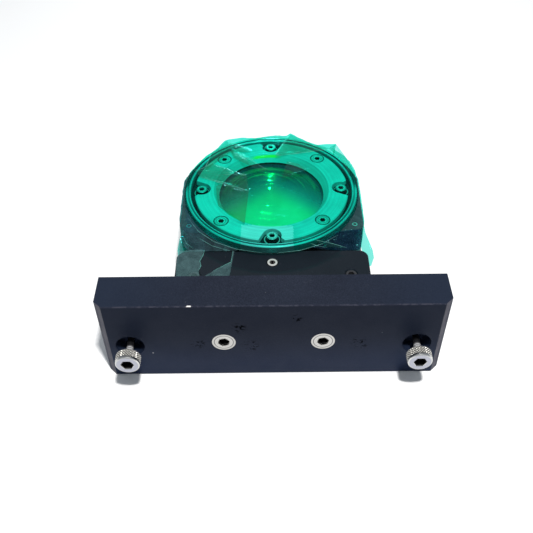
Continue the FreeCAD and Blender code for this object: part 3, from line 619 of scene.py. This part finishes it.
# Head before and behind its knurl: depth, and how far inside the head's radius
HEAD_FRONT_MM = ((0.0, 0.75), (0.06, 0.5), (0.2, 0.25), (0.45, 0.04), (0.7, 0.0), (1.2, 0.0), (1.3, 0.18))
HEAD_BACK_MM = ((4.8, 0.2), (4.9, 0.3), (5.5, 0.85), (HEAD_LENGTH_MM, 1.2))

# Captive screw colours: painted shade in the grooves, on the face, in the socket, in neck rings, on the neck
# in the bore and in the thread roots; painted light on the stem
KNURL_TONE = (0.74, 0.72, 0.67)
GROOVE_TONE = (0.05, 0.048, 0.046)
FACE_TONE = (0.4, 0.41, 0.47)
STEM_TONE = (0.8, 0.8, 0.82)
HEXAGON_TONE = (0.01, 0.01, 0.012)
RIPPLE_TONE = (0.07, 0.07, 0.075)
NECK_SHADE_TONE = (0.02, 0.02, 0.024)
THREAD_ROOT_TONE = (0.03, 0.03, 0.035)


def hexagon(angle, depth):
    """Radius of a hexagon with two level flats, at an angle; the same at every depth."""
    side = math.radians(60)
    within = (angle + side / 2) % side - side / 2
    return SOCKET_ACROSS_MM / 2 / math.cos(abs(within) - side / 2 if within else side / 2)


def knurled(angle, depth):
    """Radius of the knurled band: two crossing families of fine grooves."""
    lean = (depth - KNURL_FROM_MM) / HEAD_RADIUS_MM
    first = abs(math.sin(KNURL_COUNT / 2 * (angle + lean)))
    second = abs(math.sin(KNURL_COUNT / 2 * (angle - lean)))
    return HEAD_RADIUS_MM + KNURL_DEPTH_MM * (first * second - 0.5)


def threaded(angle, depth):
    """Radius of the thread: a triangle wave that climbs one pitch a turn, run out at both ends."""
    phase = (depth / THREAD_PITCH_MM - angle / (2 * math.pi)) % 1
    groove = THREAD_DEPTH_MM * (1 - abs(2 * phase - 1))
    point = max(0.0, depth - THREAD_TO_MM + THREAD_POINT_MM)
    return THREAD_RADIUS_MM - max(groove, point)


def steps(start, end, count):
    """Even steps from start to end, both included."""
    return [start + (end - start) * step / (count - 1) for step in range(count)]


def make_captive_screws():
    for side, sign in (("left", -1), ("right", 1)):
        centre = (sign * CAPTIVE_X_MM, CAPTIVE_FACE_MM, CAPTIVE_Z_MM)
        paint = captive_steel(side, sign)
        rows = [(SOCKET_DEPTH_MM + 0.7, 0.02), (SOCKET_DEPTH_MM, hexagon), (0.22, hexagon)]
        rows += [(0.0, lambda angle, depth: hexagon(angle, depth) + 0.22)]
        rows += [(depth, HEAD_RADIUS_MM - inset) for depth, inset in HEAD_FRONT_MM]
        rows += [(depth, knurled) for depth in steps(KNURL_FROM_MM, KNURL_TO_MM, KNURL_ROWS)]
        rows += [(depth, HEAD_RADIUS_MM - inset) for depth, inset in HEAD_BACK_MM]
        rows += [(HEAD_LENGTH_MM, NECK_RADIUS_MM + 0.3), (HEAD_LENGTH_MM + 0.3, NECK_RADIUS_MM)]
        rows += [(SHANK_FROM_MM - 0.3, NECK_RADIUS_MM)]
        rows += [(SHANK_FROM_MM, SHANK_RADIUS_MM), (THREAD_FROM_MM, SHANK_RADIUS_MM)]
        rows += [(depth, threaded) for depth in steps(THREAD_FROM_MM, THREAD_TO_MM, THREAD_ROWS)]
        rows += [(THREAD_TO_MM, 0.02)]
        screw = lathe("captive_detail_" + side, rows, CAPTIVE_TURNS, centre, paint, "captive_" + side)
        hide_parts("captive_screw_" + side)


def captive_steel(side, sign):
    """Stainless steel: turned face and shoulder, with painted shade on the face, in the knurl's grooves,
    socket, thread and neck, and painted light on the stem.
    """
    axis = (sign * CAPTIVE_X_MM, 0.0, CAPTIVE_Z_MM)
    paint = turned_metal("captive_steel_" + side, (0.66, 0.66, 0.65), 0.27, 1500.0, axis, 0.1)
    radius = paint.radius(*axis)
    y = paint.parts()[1]

    def along(start, end):
        """Ramp along the screw, in millimetres from its face."""
        return paint.ramp_mm(y, CAPTIVE_FACE_MM + start, CAPTIVE_FACE_MM + end)

    band = paint.times(along(KNURL_FROM_MM, KNURL_FROM_MM + 0.1), along(KNURL_TO_MM, KNURL_TO_MM - 0.1))
    # Painted shade in the grooves of the knurl
    groove = paint.ramp_mm(radius, HEAD_RADIUS_MM + 0.05, HEAD_RADIUS_MM - 0.1)
    base = paint.mix(band, paint.colour(), KNURL_TONE)
    base = paint.mix(paint.times(band, groove), base, GROOVE_TONE)
    # Painted shade: the face is darker and bluer than the rest of the head
    base = paint.mix(along(0.05, 0.02), base, FACE_TONE)
    # Painted light: the stem is lighter than the head
    stem = along(HEAD_LENGTH_MM, HEAD_LENGTH_MM + 0.2)
    base = paint.mix(stem, base, STEM_TONE)
    # Painted shade inside the hexagon socket
    hollow = paint.ramp_mm(radius, 0.6 * SOCKET_ACROSS_MM, 0.58 * SOCKET_ACROSS_MM)
    sunk = paint.times(paint.times(hollow, along(0.3, 1.2)), paint.less(1.0, stem))
    base = paint.mix(sunk, base, HEXAGON_TONE)
    neck = paint.times(stem, paint.ramp_mm(radius, NECK_RADIUS_MM + 0.3, NECK_RADIUS_MM + 0.2))
    # Painted shade: thin dark rings along the neck, standing for thread grooves
    ripple = paint.calc("SINE", paint.times(y, 2 * math.pi / (NECK_PITCH_MM * MM)))
    rippled = paint.times(neck, paint.ramp(ripple, 0.0, 0.8, 0.0, 0.85))
    base = paint.mix(rippled, base, RIPPLE_TONE)
    # Painted shade on the neck where it lies in the bore
    in_bore_shade = along(*(HEAD_LENGTH_MM + reach for reach in NECK_SHADE_MM))
    base = paint.mix(paint.times(neck, in_bore_shade), base, NECK_SHADE_TONE)
    # Painted shade in the roots of the thread
    deep = paint.ramp_mm(radius, THREAD_RADIUS_MM - 0.05, THREAD_RADIUS_MM - 0.36)
    root = paint.times(along(THREAD_FROM_MM, THREAD_FROM_MM + 0.1), deep)
    paint.put(Base_Color=paint.mix(root, base, THREAD_ROOT_TONE))
    paint.put(Metallic=paint.ramp(paint.calc("MAXIMUM", stem, band), 0.0, 1.0, 1.0, 0.5))
    return paint


# Green protective film
FILM_TINT = (0.24, 0.91, 0.8)
FILM_STEP_MM = 0.2
FILM_GLOSS = 0.25
FILM_GLOSS_COLOUR = (0.2, 0.85, 0.85)
# Painted shade: darker tint of the film on the yoke's left side
FILM_LEFT_SHADE_TINT = (0.13, 0.3, 0.33)
FILM_LIFT_MM = 0.12
CREASE_LIFT_MM = 0.14
LOOSE_FROM_MM = 44

# Seed of the vector noise: every run gives the same wrinkles
WRINKLE_SEED = 1
noise.seed_set(WRINKLE_SEED)


def film_paint(name, tint, haze_colour, haze_share, wrinkle=0.3, skirt=0.0, roughness=0.1,
               shine=FILM_GLOSS):
    """Clear film: it tints the light that goes through, with a little haze and a clear gloss over it."""
    paint = Paint(name)
    tint_cloud = paint.ramp(paint.noise(60.0, 3.0, 0.6), 0.3, 0.7)
    through = paint.mix(tint_cloud, scaled(tint, 0.93), tint)
    if skirt > 0:
        # Painted shade: a darker tint on the yoke's left side, below the head's top
        x, _, z = paint.parts()
        left = paint.ramp_mm(x, 0.3 - HALF_WIDTH_MM, -0.1 - HALF_WIDTH_MM, 0.0, 0.85)
        through = paint.mix(paint.times(left, paint.ramp_mm(z, 44.5, 42.0)), through, FILM_LEFT_SHADE_TINT)
    clear = paint.node("BsdfTransparent", Color=through)
    fine = paint.noise(300.0, 2.0, 0.5, distortion=1.2)
    long = paint.noise(95.0, 3.0, 0.6, paint.moved((0, 0, 0), (1.0, 2.6, 1.0)), 0.8)
    normal = paint.bump(fine, wrinkle * 0.12, 0.3 * MM, paint.bump(long, wrinkle, 1.2 * MM))
    cloud = paint.ramp(paint.noise(130.0, 4.0, 0.7, distortion=1.5), 0.3, 0.75, 0.6, 1.5)
    outer = paint.ramp_mm(paint.radius(), RIM_RADIUS_MM - 0.2, RIM_RADIUS_MM + 1.0, 0.0, skirt)
    veil = paint.times(paint.calc("ADD", outer, haze_share), cloud)
    haze = paint.node("BsdfDiffuse", Color=haze_colour, Normal=normal)
    paint.put(Base_Color=FILM_GLOSS_COLOUR, Roughness=roughness, Metallic=1.0, Normal=normal)
    facing = paint.node("LayerWeight", Blend=0.5, Normal=normal).outputs["Facing"]
    gloss = paint.calc("MULTIPLY_ADD", paint.calc("POWER", facing, 5.0), 0.9, 0.04)
    paint.see_through(clear, haze, veil, paint.times(gloss, shine))
    return paint


def yoke_reach(angle):
    """Distance from the optical axis to the outline of the yoke, in a direction."""
    along, across = math.cos(angle), math.sin(angle)
    reach = REAR_RADIUS_MM
    if abs(along) > 1e-6:
        reach = min(reach, HALF_WIDTH_MM / abs(along)) if across >= 0 else HALF_WIDTH_MM / abs(along)
    if across < -1e-6:
        reach = min(reach, YOKE_FRONT_MM / across)
        x, y = reach * along, reach * across
        inner_x, inner_y = HALF_WIDTH_MM - YOKE_CORNER_MM, YOKE_FRONT_MM + YOKE_CORNER_MM
        if abs(x) > inner_x and y < inner_y:
            centre_along = inner_x * abs(along) + inner_y * across
            off_axis = inner_x ** 2 + inner_y ** 2 - centre_along ** 2
            reach = centre_along + math.sqrt(max(0.0, YOKE_CORNER_MM ** 2 - off_axis))
    return reach


# Where the film stands off the head: picture pixels of its outline, with the height of each point
FILM_OUTLINE = (
    (355.8, 175.5, 43.0), (354.4, 169.9, 43.6), (346.0, 158.7, 44.6), (335.8, 144.2, 45.6),
    (332.0, 148.9, 45.4), (313.7, 146.0, 45.2), (296.9, 137.6, 45.8), (290.3, 133.7, 46.6),
    (286.6, 136.2, 45.9), (254.8, 138.3, 45.2), (226.0, 140.4, 46.2), (218.3, 148.2, 45.2),
    (211.3, 153.0, 44.8), (193.8, 170.6, 43.2),
)
FILM_FOOT_MM = 27.0
FRONT_FROM, FRONT_TO = math.radians(-139.0), math.radians(-41.0)


def film_shoulder():
    """Angle, radius and height of the film's outer fold, all round the head."""
    listed = []
    for px, py, height in FILM_OUTLINE:
        x, y = at_level(px, py, height).xy
        listed.append((math.atan2(y, x), math.hypot(x, y), height))
    sides = [math.radians(angle) for angle in (-140, -135, -128, -60, -52, -45, -40)]
    for degrees in (-34, -30, -25, -18, -10, 0, 8, 14, 166, 172, 180 - 1e-3, -172, -164, -156, -150, -146):
        angle = math.radians(degrees)
        listed.append((angle, yoke_reach(angle) + 0.15, YOKE_TOP_MM + 0.25))
    for angle in sides:
        listed.append((angle, RIM_RADIUS_MM + 0.35, YOKE_TOP_MM + 0.25))
    return sorted(listed)


def around(listed, angle):
    """Radius and height of the fold in a direction, between its neighbours in the list."""
    angles, radii, heights = zip(*listed)
    radius = np.interp(angle, angles, radii, period=2 * math.pi)
    height = np.interp(angle, angles, heights, period=2 * math.pi)
    return float(radius), float(height)


def crumple(x, y, z, size):
    """Folded wrinkle height between -1 and 1, from ridged noise."""
    where = Vector((x, y, z)) / size
    bend = noise.noise_vector(where * 0.6) * 0.9
    ridge = 1 - 2 * abs(noise.noise(where + bend)) * 1.6
    return max(-1.0, ridge)


# Straight folds on top: start and end in picture pixels, height and width in millimetres
FAINT_CREASE_MM = 0.25
FILM_CREASES = (
    ((290.3, 133.7), (275.3, 156.0), 0.5, 1.2),
    ((275.3, 156.0), (331.0, 148.9), 0.45, 1.0),
    ((199.5, 176.6), (248.5, 191.3), 0.35, 0.9),
    ((194.5, 170.8), (246.5, 175.2), 0.3, 0.9),
    ((212.7, 151.7), (204.3, 171.3), 0.4, 0.9),
    ((229.5, 149.0), (267.5, 170.5), 0.3, 0.8),
    ((249.5, 189.0), (244.5, 224.0), 0.22, 0.8),
    ((293.4, 226.0), (293.4, 250.0), 0.2, 0.8),
    ((321.0, 166.0), (281.5, 178.0), 0.2, 1.0),
    ((226.0, 141.0), (251.0, 152.0), 0.3, 1.0),
)


def crease_height(x, y, creases):
    """Height that the straight folds add at a point on top of the head."""
    total = 0.0
    for x0, y0, x1, y1, height, width in creases:
        length = math.hypot(x1 - x0, y1 - y0)
        along = ((x - x0) * (x1 - x0) + (y - y0) * (y1 - y0)) / length ** 2
        share = min(1.0, max(0.0, along))
        gap = math.hypot(x - x0 - share * (x1 - x0), y - y0 - share * (y1 - y0))
        total += height * math.exp(-gap / width)
    return total


def level_creases():
    """The straight folds in millimetres, on the level of the head's top."""
    listed = []
    for start, end, height, width in FILM_CREASES:
        first, second = at_level(*start, HEAD_TOP_MM), at_level(*end, HEAD_TOP_MM)
        listed.append((first.x, first.y, second.x, second.y, height, width))
    return listed


DRAPE_TURNS = 400
DISC_ROWS = 72
UPPER_ROWS = 64
ROW_CROWDING = 0.92
SKIRT_ROWS = 34


# Film on top: its sag, its play over ring and aperture, and the edge where that fades
SAG_MM = 0.55
RING_PLAY_MM, APERTURE_PLAY_MM = 0.14, 0.4
FADE_MM = 1.5


def top_height(x, y, creases, lift):
    """Height of the film over the ring and the open aperture."""
    radius = math.hypot(x, y)
    sag = SAG_MM * max(0.0, 1 - (radius / APERTURE_MM) ** 2)
    play = RING_PLAY_MM if radius > APERTURE_MM else APERTURE_PLAY_MM
    wave = 0.5 * crumple(x, y, 3.0, 16.0) + 0.1 * crumple(x, y, 8.0, 6.0)
    edge = min(1.0, max(0.0, (RIM_RADIUS_MM - radius) / FADE_MM))
    rise = play * (0.5 + 0.5 * wave) * edge
    return HEAD_TOP_MM + lift - sag + rise + crease_height(x, y, creases) * 0.7 * edge


def drape_angles():
    """The directions in which the film's rings have their points."""
    return [2 * math.pi * step / DRAPE_TURNS - math.pi for step in range(DRAPE_TURNS)]


def disc_points(rows, rim, centre, lift):
    """Rings of points over the head's top, from a tiny one at the centre out to the rim."""
    creases = level_creases()
    points = []
    for row in range(rows):
        radius = max(centre, rim * (row / (rows - 1)) ** ROW_CROWDING)
        for angle in drape_angles():
            x, y = radius * math.cos(angle), radius * math.sin(angle)
            points.append((x, y, top_height(x, y, creases, lift)))
    return points


def make_drape(paint):
    """The lower film layer: over the ring, down the rim, across the yoke and down its sides."""
    shoulder = film_shoulder()
    rim = RIM_RADIUS_MM + 0.25
    points = disc_points(DISC_ROWS, rim, 0.02, FILM_LIFT_MM)
    for row in range(1, SKIRT_ROWS):
        share = row / (SKIRT_ROWS - 1)
        points += [skirt_point(angle, share, shoulder, rim) for angle in drape_angles()]
    faces = grid_faces(DISC_ROWS + SKIRT_ROWS - 1, DRAPE_TURNS, True)
    return new_piece("film_drape", points, faces, paint)


def skirt_point(angle, share, shoulder, rim):
    """A point on the film between the rim and its foot; share runs from 0 at the rim to 1."""
    reach, height = around(shoulder, angle)
    front = FRONT_FROM < angle < FRONT_TO
    foot = YOKE_TOP_MM - 0.1 if front else FILM_FOOT_MM + 2.5 * noise.noise(Vector((angle * 2.2, 4.0, 1.0)))
    drop, hem = 0.5, reach + 0.1
    if height >= LOOSE_FROM_MM:
        second = (0.3, rim + (reach - rim) * 0.55, (HEAD_TOP_MM + height) / 2 - 0.2)
        drop, hem = 0.7, max(yoke_reach(angle), reach - 3.5) + 0.5
    elif reach < rim + 1.6:
        second = (0.3, rim + 0.1, YOKE_TOP_MM + 0.6)
    else:
        second = (0.22, rim + 0.15, YOKE_TOP_MM + 1.0)
    knots = ((0.0, rim, HEAD_TOP_MM), second, (0.5, reach, height),
             (0.56, reach + 0.05, height - drop), (1.0, hem, foot))
    shares, radii, levels = zip(*knots)
    radius = float(np.interp(share, shares, radii))
    level = float(np.interp(share, shares, levels))
    loose = min(1.0, share * 2.2) * (0.35 if front else 1.0)
    along = angle * RIM_RADIUS_MM
    fold = crumple(along, level * 0.45, 2.0, 6.5) * 0.5 + crumple(along, level * 0.8, 7.0, 2.6) * 0.25
    amount = 0.28 if height < LOOSE_FROM_MM else 0.6
    radius += loose * amount * (fold + 0.75) * (0.5 if share < 0.5 else 1.0)
    if share > 0.3 and not front and level < YOKE_TOP_MM + 0.1:
        radius = max(radius, yoke_reach(angle) + 0.15)
    x, y = radius * math.cos(angle), radius * math.sin(angle)
    if 0.0 < share < 0.5:
        level += loose * 0.25 * (fold + 0.6)
    return x, y, level


def inside(px, py, polygon):
    """True where a pixel lies inside a closed outline of pixels."""
    count, hit = len(polygon), False
    for index in range(count):
        x0, y0 = polygon[index][:2]
        x1, y1 = polygon[index - 1][:2]
        if (y0 > py) != (y1 > py) and px < (x1 - x0) * (py - y0) / (y1 - y0) + x0:
            hit = not hit
    return hit


def to_pixel(x, y, z):
    """Pixel of the square picture where a point in millimetres appears."""
    away = Vector((x, y, z)) * MM - CAMERA_AT
    depth = away.dot(forward)
    return (IMAGE_SIDE / 2 + FOCAL_PIXELS * away.dot(image_right) / depth,
            IMAGE_SIDE / 2 + FOCAL_PIXELS * away.dot(image_down) / depth)


# Where the upper layer was cut open at the front, in picture pixels
OPEN_PATCH = ((241.4, 224.6), (293.4, 225.4), (293.6, 262.0), (239.0, 262.0))


def make_upper_layer(paint):
    """The second layer on the ring and the aperture, open at the front where it was cut."""
    rim = RIM_RADIUS_MM + 0.3
    hem = rim + 0.45
    points = disc_points(UPPER_ROWS, rim, 0.03, FILM_LIFT_MM + FILM_STEP_MM)
    for angle in drape_angles():
        points.append((hem * math.cos(angle), hem * math.sin(angle), YOKE_TOP_MM + 0.9))
    faces = []
    for face in grid_faces(UPPER_ROWS + 1, DRAPE_TURNS, True):
        centre = [sum(points[index][axis] for index in face) / 4 for axis in range(3)]
        if not inside(*to_pixel(*centre), OPEN_PATCH):
            faces.append(face)
    return new_piece("film_upper_layer", points, faces, paint)


def pixel_sheet(name, outline, paint, spacing=2.2, wrinkle=0.25, size=5.0):
    """A loose sheet whose outline is given by pixels with heights; inside, heights blend between them."""
    edge = []
    count = len(outline)
    for index in range(count):
        (x0, y0, z0), (x1, y1, z1) = outline[index], outline[(index + 1) % count]
        parts = max(1, int(math.hypot(x1 - x0, y1 - y0) / spacing))
        for part in range(parts):
            share = part / parts
            edge.append((x0 + share * (x1 - x0), y0 + share * (y1 - y0), z0 + share * (z1 - z0)))
    flat = [point[:2] for point in edge]
    inner = []
    x_low, x_high = min(x for x, y in flat), max(x for x, y in flat)
    y_low, y_high = min(y for x, y in flat), max(y for x, y in flat)
    row, py = 0, y_low + spacing * 0.5
    while py < y_high:
        px = x_low + spacing * (0.25 if row % 2 else 0.75)
        while px < x_high:
            gap = min(math.hypot(px - x, py - y) for x, y in flat)
            if gap > spacing * 0.6 and inside(px, py, flat):
                weights = [1 / math.hypot(px - x, py - y) ** 2.5 for x, y in flat]
                height = sum(weight * point[2] for weight, point in zip(weights, edge)) / sum(weights)
                inner.append((px, py, height))
            px += spacing
        py += spacing * 0.87
        row += 1
    every = edge + inner
    loop = [(index, (index + 1) % len(edge)) for index in range(len(edge))]
    result = delaunay_2d_cdt([Vector(point[:2]) for point in every], loop, [], 1, 1e-4)
    spots, faces, sources = result[0], result[2], result[3]
    points = []
    for index, spot in enumerate(spots):
        height = every[sources[index][0]][2] if sources[index] else HEAD_TOP_MM
        place = at_level(spot[0], spot[1], height)
        near = min(math.hypot(spot[0] - x, spot[1] - y) for x, y in flat)
        lift = wrinkle * min(1.0, near / 3.0) * (0.6 + crumple(place.x, place.y, place.z, size))
        points.append(tuple(at_level(spot[0], spot[1], height + lift)))
    return new_piece(name, points, [tuple(face) for face in faces], paint)


def ribbons(name, lines, width, paint):
    """Narrow strips along lines of points, turned to the viewer and pointed at both ends."""
    points, faces = [], []
    for line in lines:
        start = len(points)
        for index, spot in enumerate(line):
            before, after = line[max(0, index - 1)], line[min(len(line) - 1, index + 1)]
            toward = (CAMERA_AT / MM - spot).normalized()
            side = (after - before).cross(toward).normalized()
            half = width * (0.15 if index in (0, len(line) - 1) else 0.5)
            lifted = spot + toward * 0.12
            points += [tuple(lifted - side * half), tuple(lifted + side * half)]
        for index in range(len(line) - 1):
            first = start + 2 * index
            faces.append((first, first + 1, first + 3, first + 2))
    return new_piece(name, points, faces, paint)


def crease_lines():
    """Points along every straight fold where it crosses the top of the head."""
    creases = level_creases()
    lines = []
    for x0, y0, x1, y1, height, _ in creases:
        if height < FAINT_CREASE_MM:
            continue
        line = []
        for step in range(25):
            share = step / 24
            x, y = x0 + share * (x1 - x0), y0 + share * (y1 - y0)
            x += 0.12 * noise.noise(Vector((x, y, 3.0)))
            if math.hypot(x, y) < RIM_RADIUS_MM - 0.2:
                lift = CREASE_LIFT_MM + FILM_STEP_MM
                line.append(Vector((x, y, top_height(x, y, creases, lift))))
        if len(line) > 2:
            lines.append(line)
    return lines


# Extra sheets: each point is a picture pixel and a height in millimetres
TOP = HEAD_TOP_MM + 0.75
FILM_SHEETS = {
    "film_fold_back": (
        (275.3, 156.0, TOP), (290.3, 134.2, 46.9), (304.0, 140.5, 46.2), (331.0, 148.9, 45.9),
    ),
    "film_fold_rear_right": (
        (329.0, 148.2, 46.0), (335.8, 143.8, 45.7), (346.8, 158.2, 44.8), (355.3, 173.5, 43.4),
        (357.6, 192.0, 42.6), (352.6, 186.0, 43.8), (348.5, 172.0, 45.6), (340.0, 158.5, 45.9),
    ),
    "film_fold_wedge": (
        (229.5, 149.0, TOP), (267.8, 170.2, 45.2), (262.5, 171.8, 45.2), (234.0, 158.0, TOP),
    ),
    "film_fold_left": (
        (196.5, 171.5, 45.9), (212.0, 163.0, TOP), (246.5, 175.2, 45.3), (248.8, 191.3, 45.2),
        (199.8, 176.8, TOP),
    ),
    "film_fold_rear_left": (
        (211.6, 153.2, 45.3), (218.3, 148.4, 45.5), (226.0, 140.8, 46.3), (251.0, 152.0, TOP),
        (229.5, 152.5, TOP), (204.5, 171.0, TOP),
    ),
    "film_fold_inner_left": (
        (248.8, 191.3, 45.3), (244.6, 224.0, TOP), (218.0, 206.0, TOP), (216.0, 186.0, TOP),
        (222.0, 183.8, TOP),
    ),
    "film_fold_wedge_right": (
        (281.7, 178.3, 45.3), (307.5, 170.3, 45.3), (298.0, 163.6, TOP), (287.0, 161.4, 45.5),
    ),
    "film_bridge_left": (
        (184.5, 214.0, 41.6), (186.5, 205.0, 43.0), (192.0, 218.5, 42.5), (204.0, 231.0, 42.3),
        (222.0, 241.5, 42.0), (238.0, 247.5, 41.8), (236.4, 251.0, 40.4), (214.0, 251.2, 40.3),
        (190.0, 251.6, 40.3), (184.0, 246.5, 40.6), (181.6, 238.0, 41.0), (181.0, 228.0, 41.4),
    ),
    "film_bridge_right": (
        (311.0, 247.2, 41.0), (322.0, 240.5, 41.7), (337.0, 231.6, 41.9), (357.0, 229.2, 41.6),
        (362.2, 227.5, 40.6), (362.6, 236.0, 38.4), (360.6, 249.5, 35.2), (343.0, 250.3, 37.5),
        (328.0, 249.5, 39.5),
    ),
    "film_strip_front": (
        (302.6, 236.2, 45.5), (332.5, 243.4, 43.0), (346.4, 247.8, 41.6), (328.4, 247.2, 41.4),
    ),
    "film_flap_right": (
        (361.6, 214.0, 41.8), (365.6, 233.0, 38.0), (372.7, 250.0, 34.0), (374.0, 257.6, 31.0),
        (371.3, 265.6, 28.0), (366.0, 268.0, 26.0), (360.8, 246.0, 33.0), (361.2, 232.0, 37.0),
    ),
    "film_flap_left": (
        (181.6, 233.0, 38.0), (179.4, 240.0, 36.0), (177.3, 250.5, 33.0), (178.6, 262.0, 28.0),
        (184.5, 262.0, 27.0), (186.0, 248.0, 33.0), (183.8, 238.0, 36.4),
    ),
    "film_on_block": (
        (175.6, 277.4, 40.3), (176.4, 262.0, 40.35), (178.2, 251.4, 40.4), (196.0, 249.6, 40.6),
        (204.6, 249.8, 40.5), (203.0, 255.5, 40.25), (199.8, 261.0, 40.2), (201.0, 266.0, 40.2),
        (198.6, 270.5, 40.2), (199.4, 276.4, 40.2),
    ),
    "film_tail_on_block": (
        (204.0, 276.4, 40.25), (213.5, 270.8, 40.25), (226.0, 264.4, 40.3), (231.0, 262.0, 40.3),
        (232.8, 251.0, 40.5), (234.2, 251.2, 40.5), (231.8, 264.5, 40.3), (229.4, 276.2, 40.25),
    ),
}

# Painted highlight lines where a sheet is cut or folded hard: picture pixels with heights in millimetres
FILM_EDGES = (
    ((275.3, 156.0, TOP), (283.0, 145.0, 46.2), (290.3, 134.2, 46.9)),
    ((275.3, 156.0, TOP), (303.0, 152.6, 46.0), (331.0, 148.9, 46.0), (336.5, 147.0, 46.0),
     (348.0, 165.0, 45.2)),
    ((226.0, 140.8, 46.3), (234.0, 143.2, 46.1), (245.0, 148.6, 45.9)),
    ((212.0, 153.0, 45.4), (208.0, 162.0, 45.4), (203.5, 171.5, 45.4), (201.5, 177.0, 45.4)),
    ((196.5, 171.0, 45.9), (205.0, 167.0, 46.0), (214.5, 161.5, 46.0)),
    ((213.0, 175.6, 45.8), (232.0, 174.0, 45.8), (246.5, 175.8, 45.6)),
    ((199.5, 176.6, 45.9), (224.0, 184.0, 45.8), (248.8, 191.3, 45.6)),
    ((302.6, 236.2, 45.6), (318.0, 240.4, 44.4), (334.0, 244.0, 43.0), (347.0, 247.8, 41.8)),
    ((306.5, 241.5, 44.2), (316.0, 245.5, 43.0), (327.0, 247.6, 41.8)),
    ((188.0, 218.0, 43.2), (198.0, 231.0, 43.0), (214.0, 241.7, 42.8), (236.0, 249.0, 42.6),
     (262.0, 252.8, 42.5)),
    ((197.0, 237.0, 41.9), (212.0, 245.8, 41.8), (230.0, 250.8, 41.6)),
    ((278.0, 252.8, 42.5), (300.0, 250.4, 42.6), (322.0, 243.8, 42.8), (338.0, 235.0, 43.0)),
    ((204.6, 250.0, 40.7), (203.0, 255.5, 40.5), (199.8, 261.0, 40.4), (201.0, 266.0, 40.4),
     (198.6, 270.5, 40.4)),
    ((213.5, 270.8, 40.5), (226.0, 264.4, 40.5), (231.0, 262.0, 40.5), (232.8, 251.0, 40.7)),
    ((183.4, 237.0, 41.6), (186.5, 243.5, 41.4), (193.0, 248.5, 41.2)),
    ((361.8, 214.0, 41.9), (364.8, 232.0, 38.4), (371.6, 249.0, 34.4), (373.4, 257.6, 31.4)),
)


def make_film():
    drape = film_paint("film_green_outer", FILM_TINT, (0.32, 0.56, 0.62), 0.0, 0.2, 0.07, 0.12, 0.14)
    upper = film_paint("film_green_upper", (0.33, 0.94, 0.88), (0.3, 0.9, 0.85), 0.004, 0.12, shine=0.09)
    loose = film_paint("film_green_loose", (0.2, 0.76, 0.67), (0.3, 0.9, 0.8), 0.02)
    folded = film_paint("film_green_folded", (0.26, 0.78, 0.7), (0.2, 0.62, 0.55), 0.04, 0.15, shine=0.15)
    bridge = film_paint("film_green_bridge", (0.3, 0.75, 0.85), (0.2, 0.36, 0.42), 0.08, 0.3, roughness=0.25)
    crumpled = film_paint("film_green_crumpled", (0.25, 0.5, 0.65), (0.06, 0.16, 0.32), 0.06, 0.9,
                          roughness=0.2)
    pale = film_paint("film_on_metal", (0.8, 0.95, 0.95), (0.36, 0.68, 0.7), 0.09, 0.05, roughness=0.3)
    # Paint of the painted highlight lines along cut edges and folds
    crease = film_paint("film_crease", (0.6, 0.95, 0.9), (0.35, 1.0, 0.88), 0.22, 0.1,
                        roughness=0.4, shine=0.05)
    pieces = [make_drape(drape), make_upper_layer(upper)]
    for name, outline in FILM_SHEETS.items():
        paint, spacing, wrinkle = loose, 2.2, 0.25
        if name.endswith("on_block"):
            paint, spacing, wrinkle = pale, 1.6, 0.06
        elif "fold" in name:
            paint = folded
        elif name == "film_bridge_left":
            paint, wrinkle = bridge, 0.3
        elif name == "film_bridge_right":
            paint, spacing, wrinkle = crumpled, 1.4, 0.5
        pieces.append(pixel_sheet(name, outline, paint, spacing, wrinkle))
    # Painted highlight lines on strips turned to the viewer, along cut edges and along the folds
    edges = [[at_level(*point) for point in line] for line in FILM_EDGES]
    pieces.append(ribbons("film_cut_edges", edges, 0.2, crease))
    pieces.append(ribbons("film_crease_lines", crease_lines(), 0.22, crease))
    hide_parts("protective_film")


make_camera()
make_studio()
paint_plate()
paint_black_parts()
paint_bright_rings()
paint_screws()
paint_seals()
paint_lens()
make_captive_screws()
make_film()
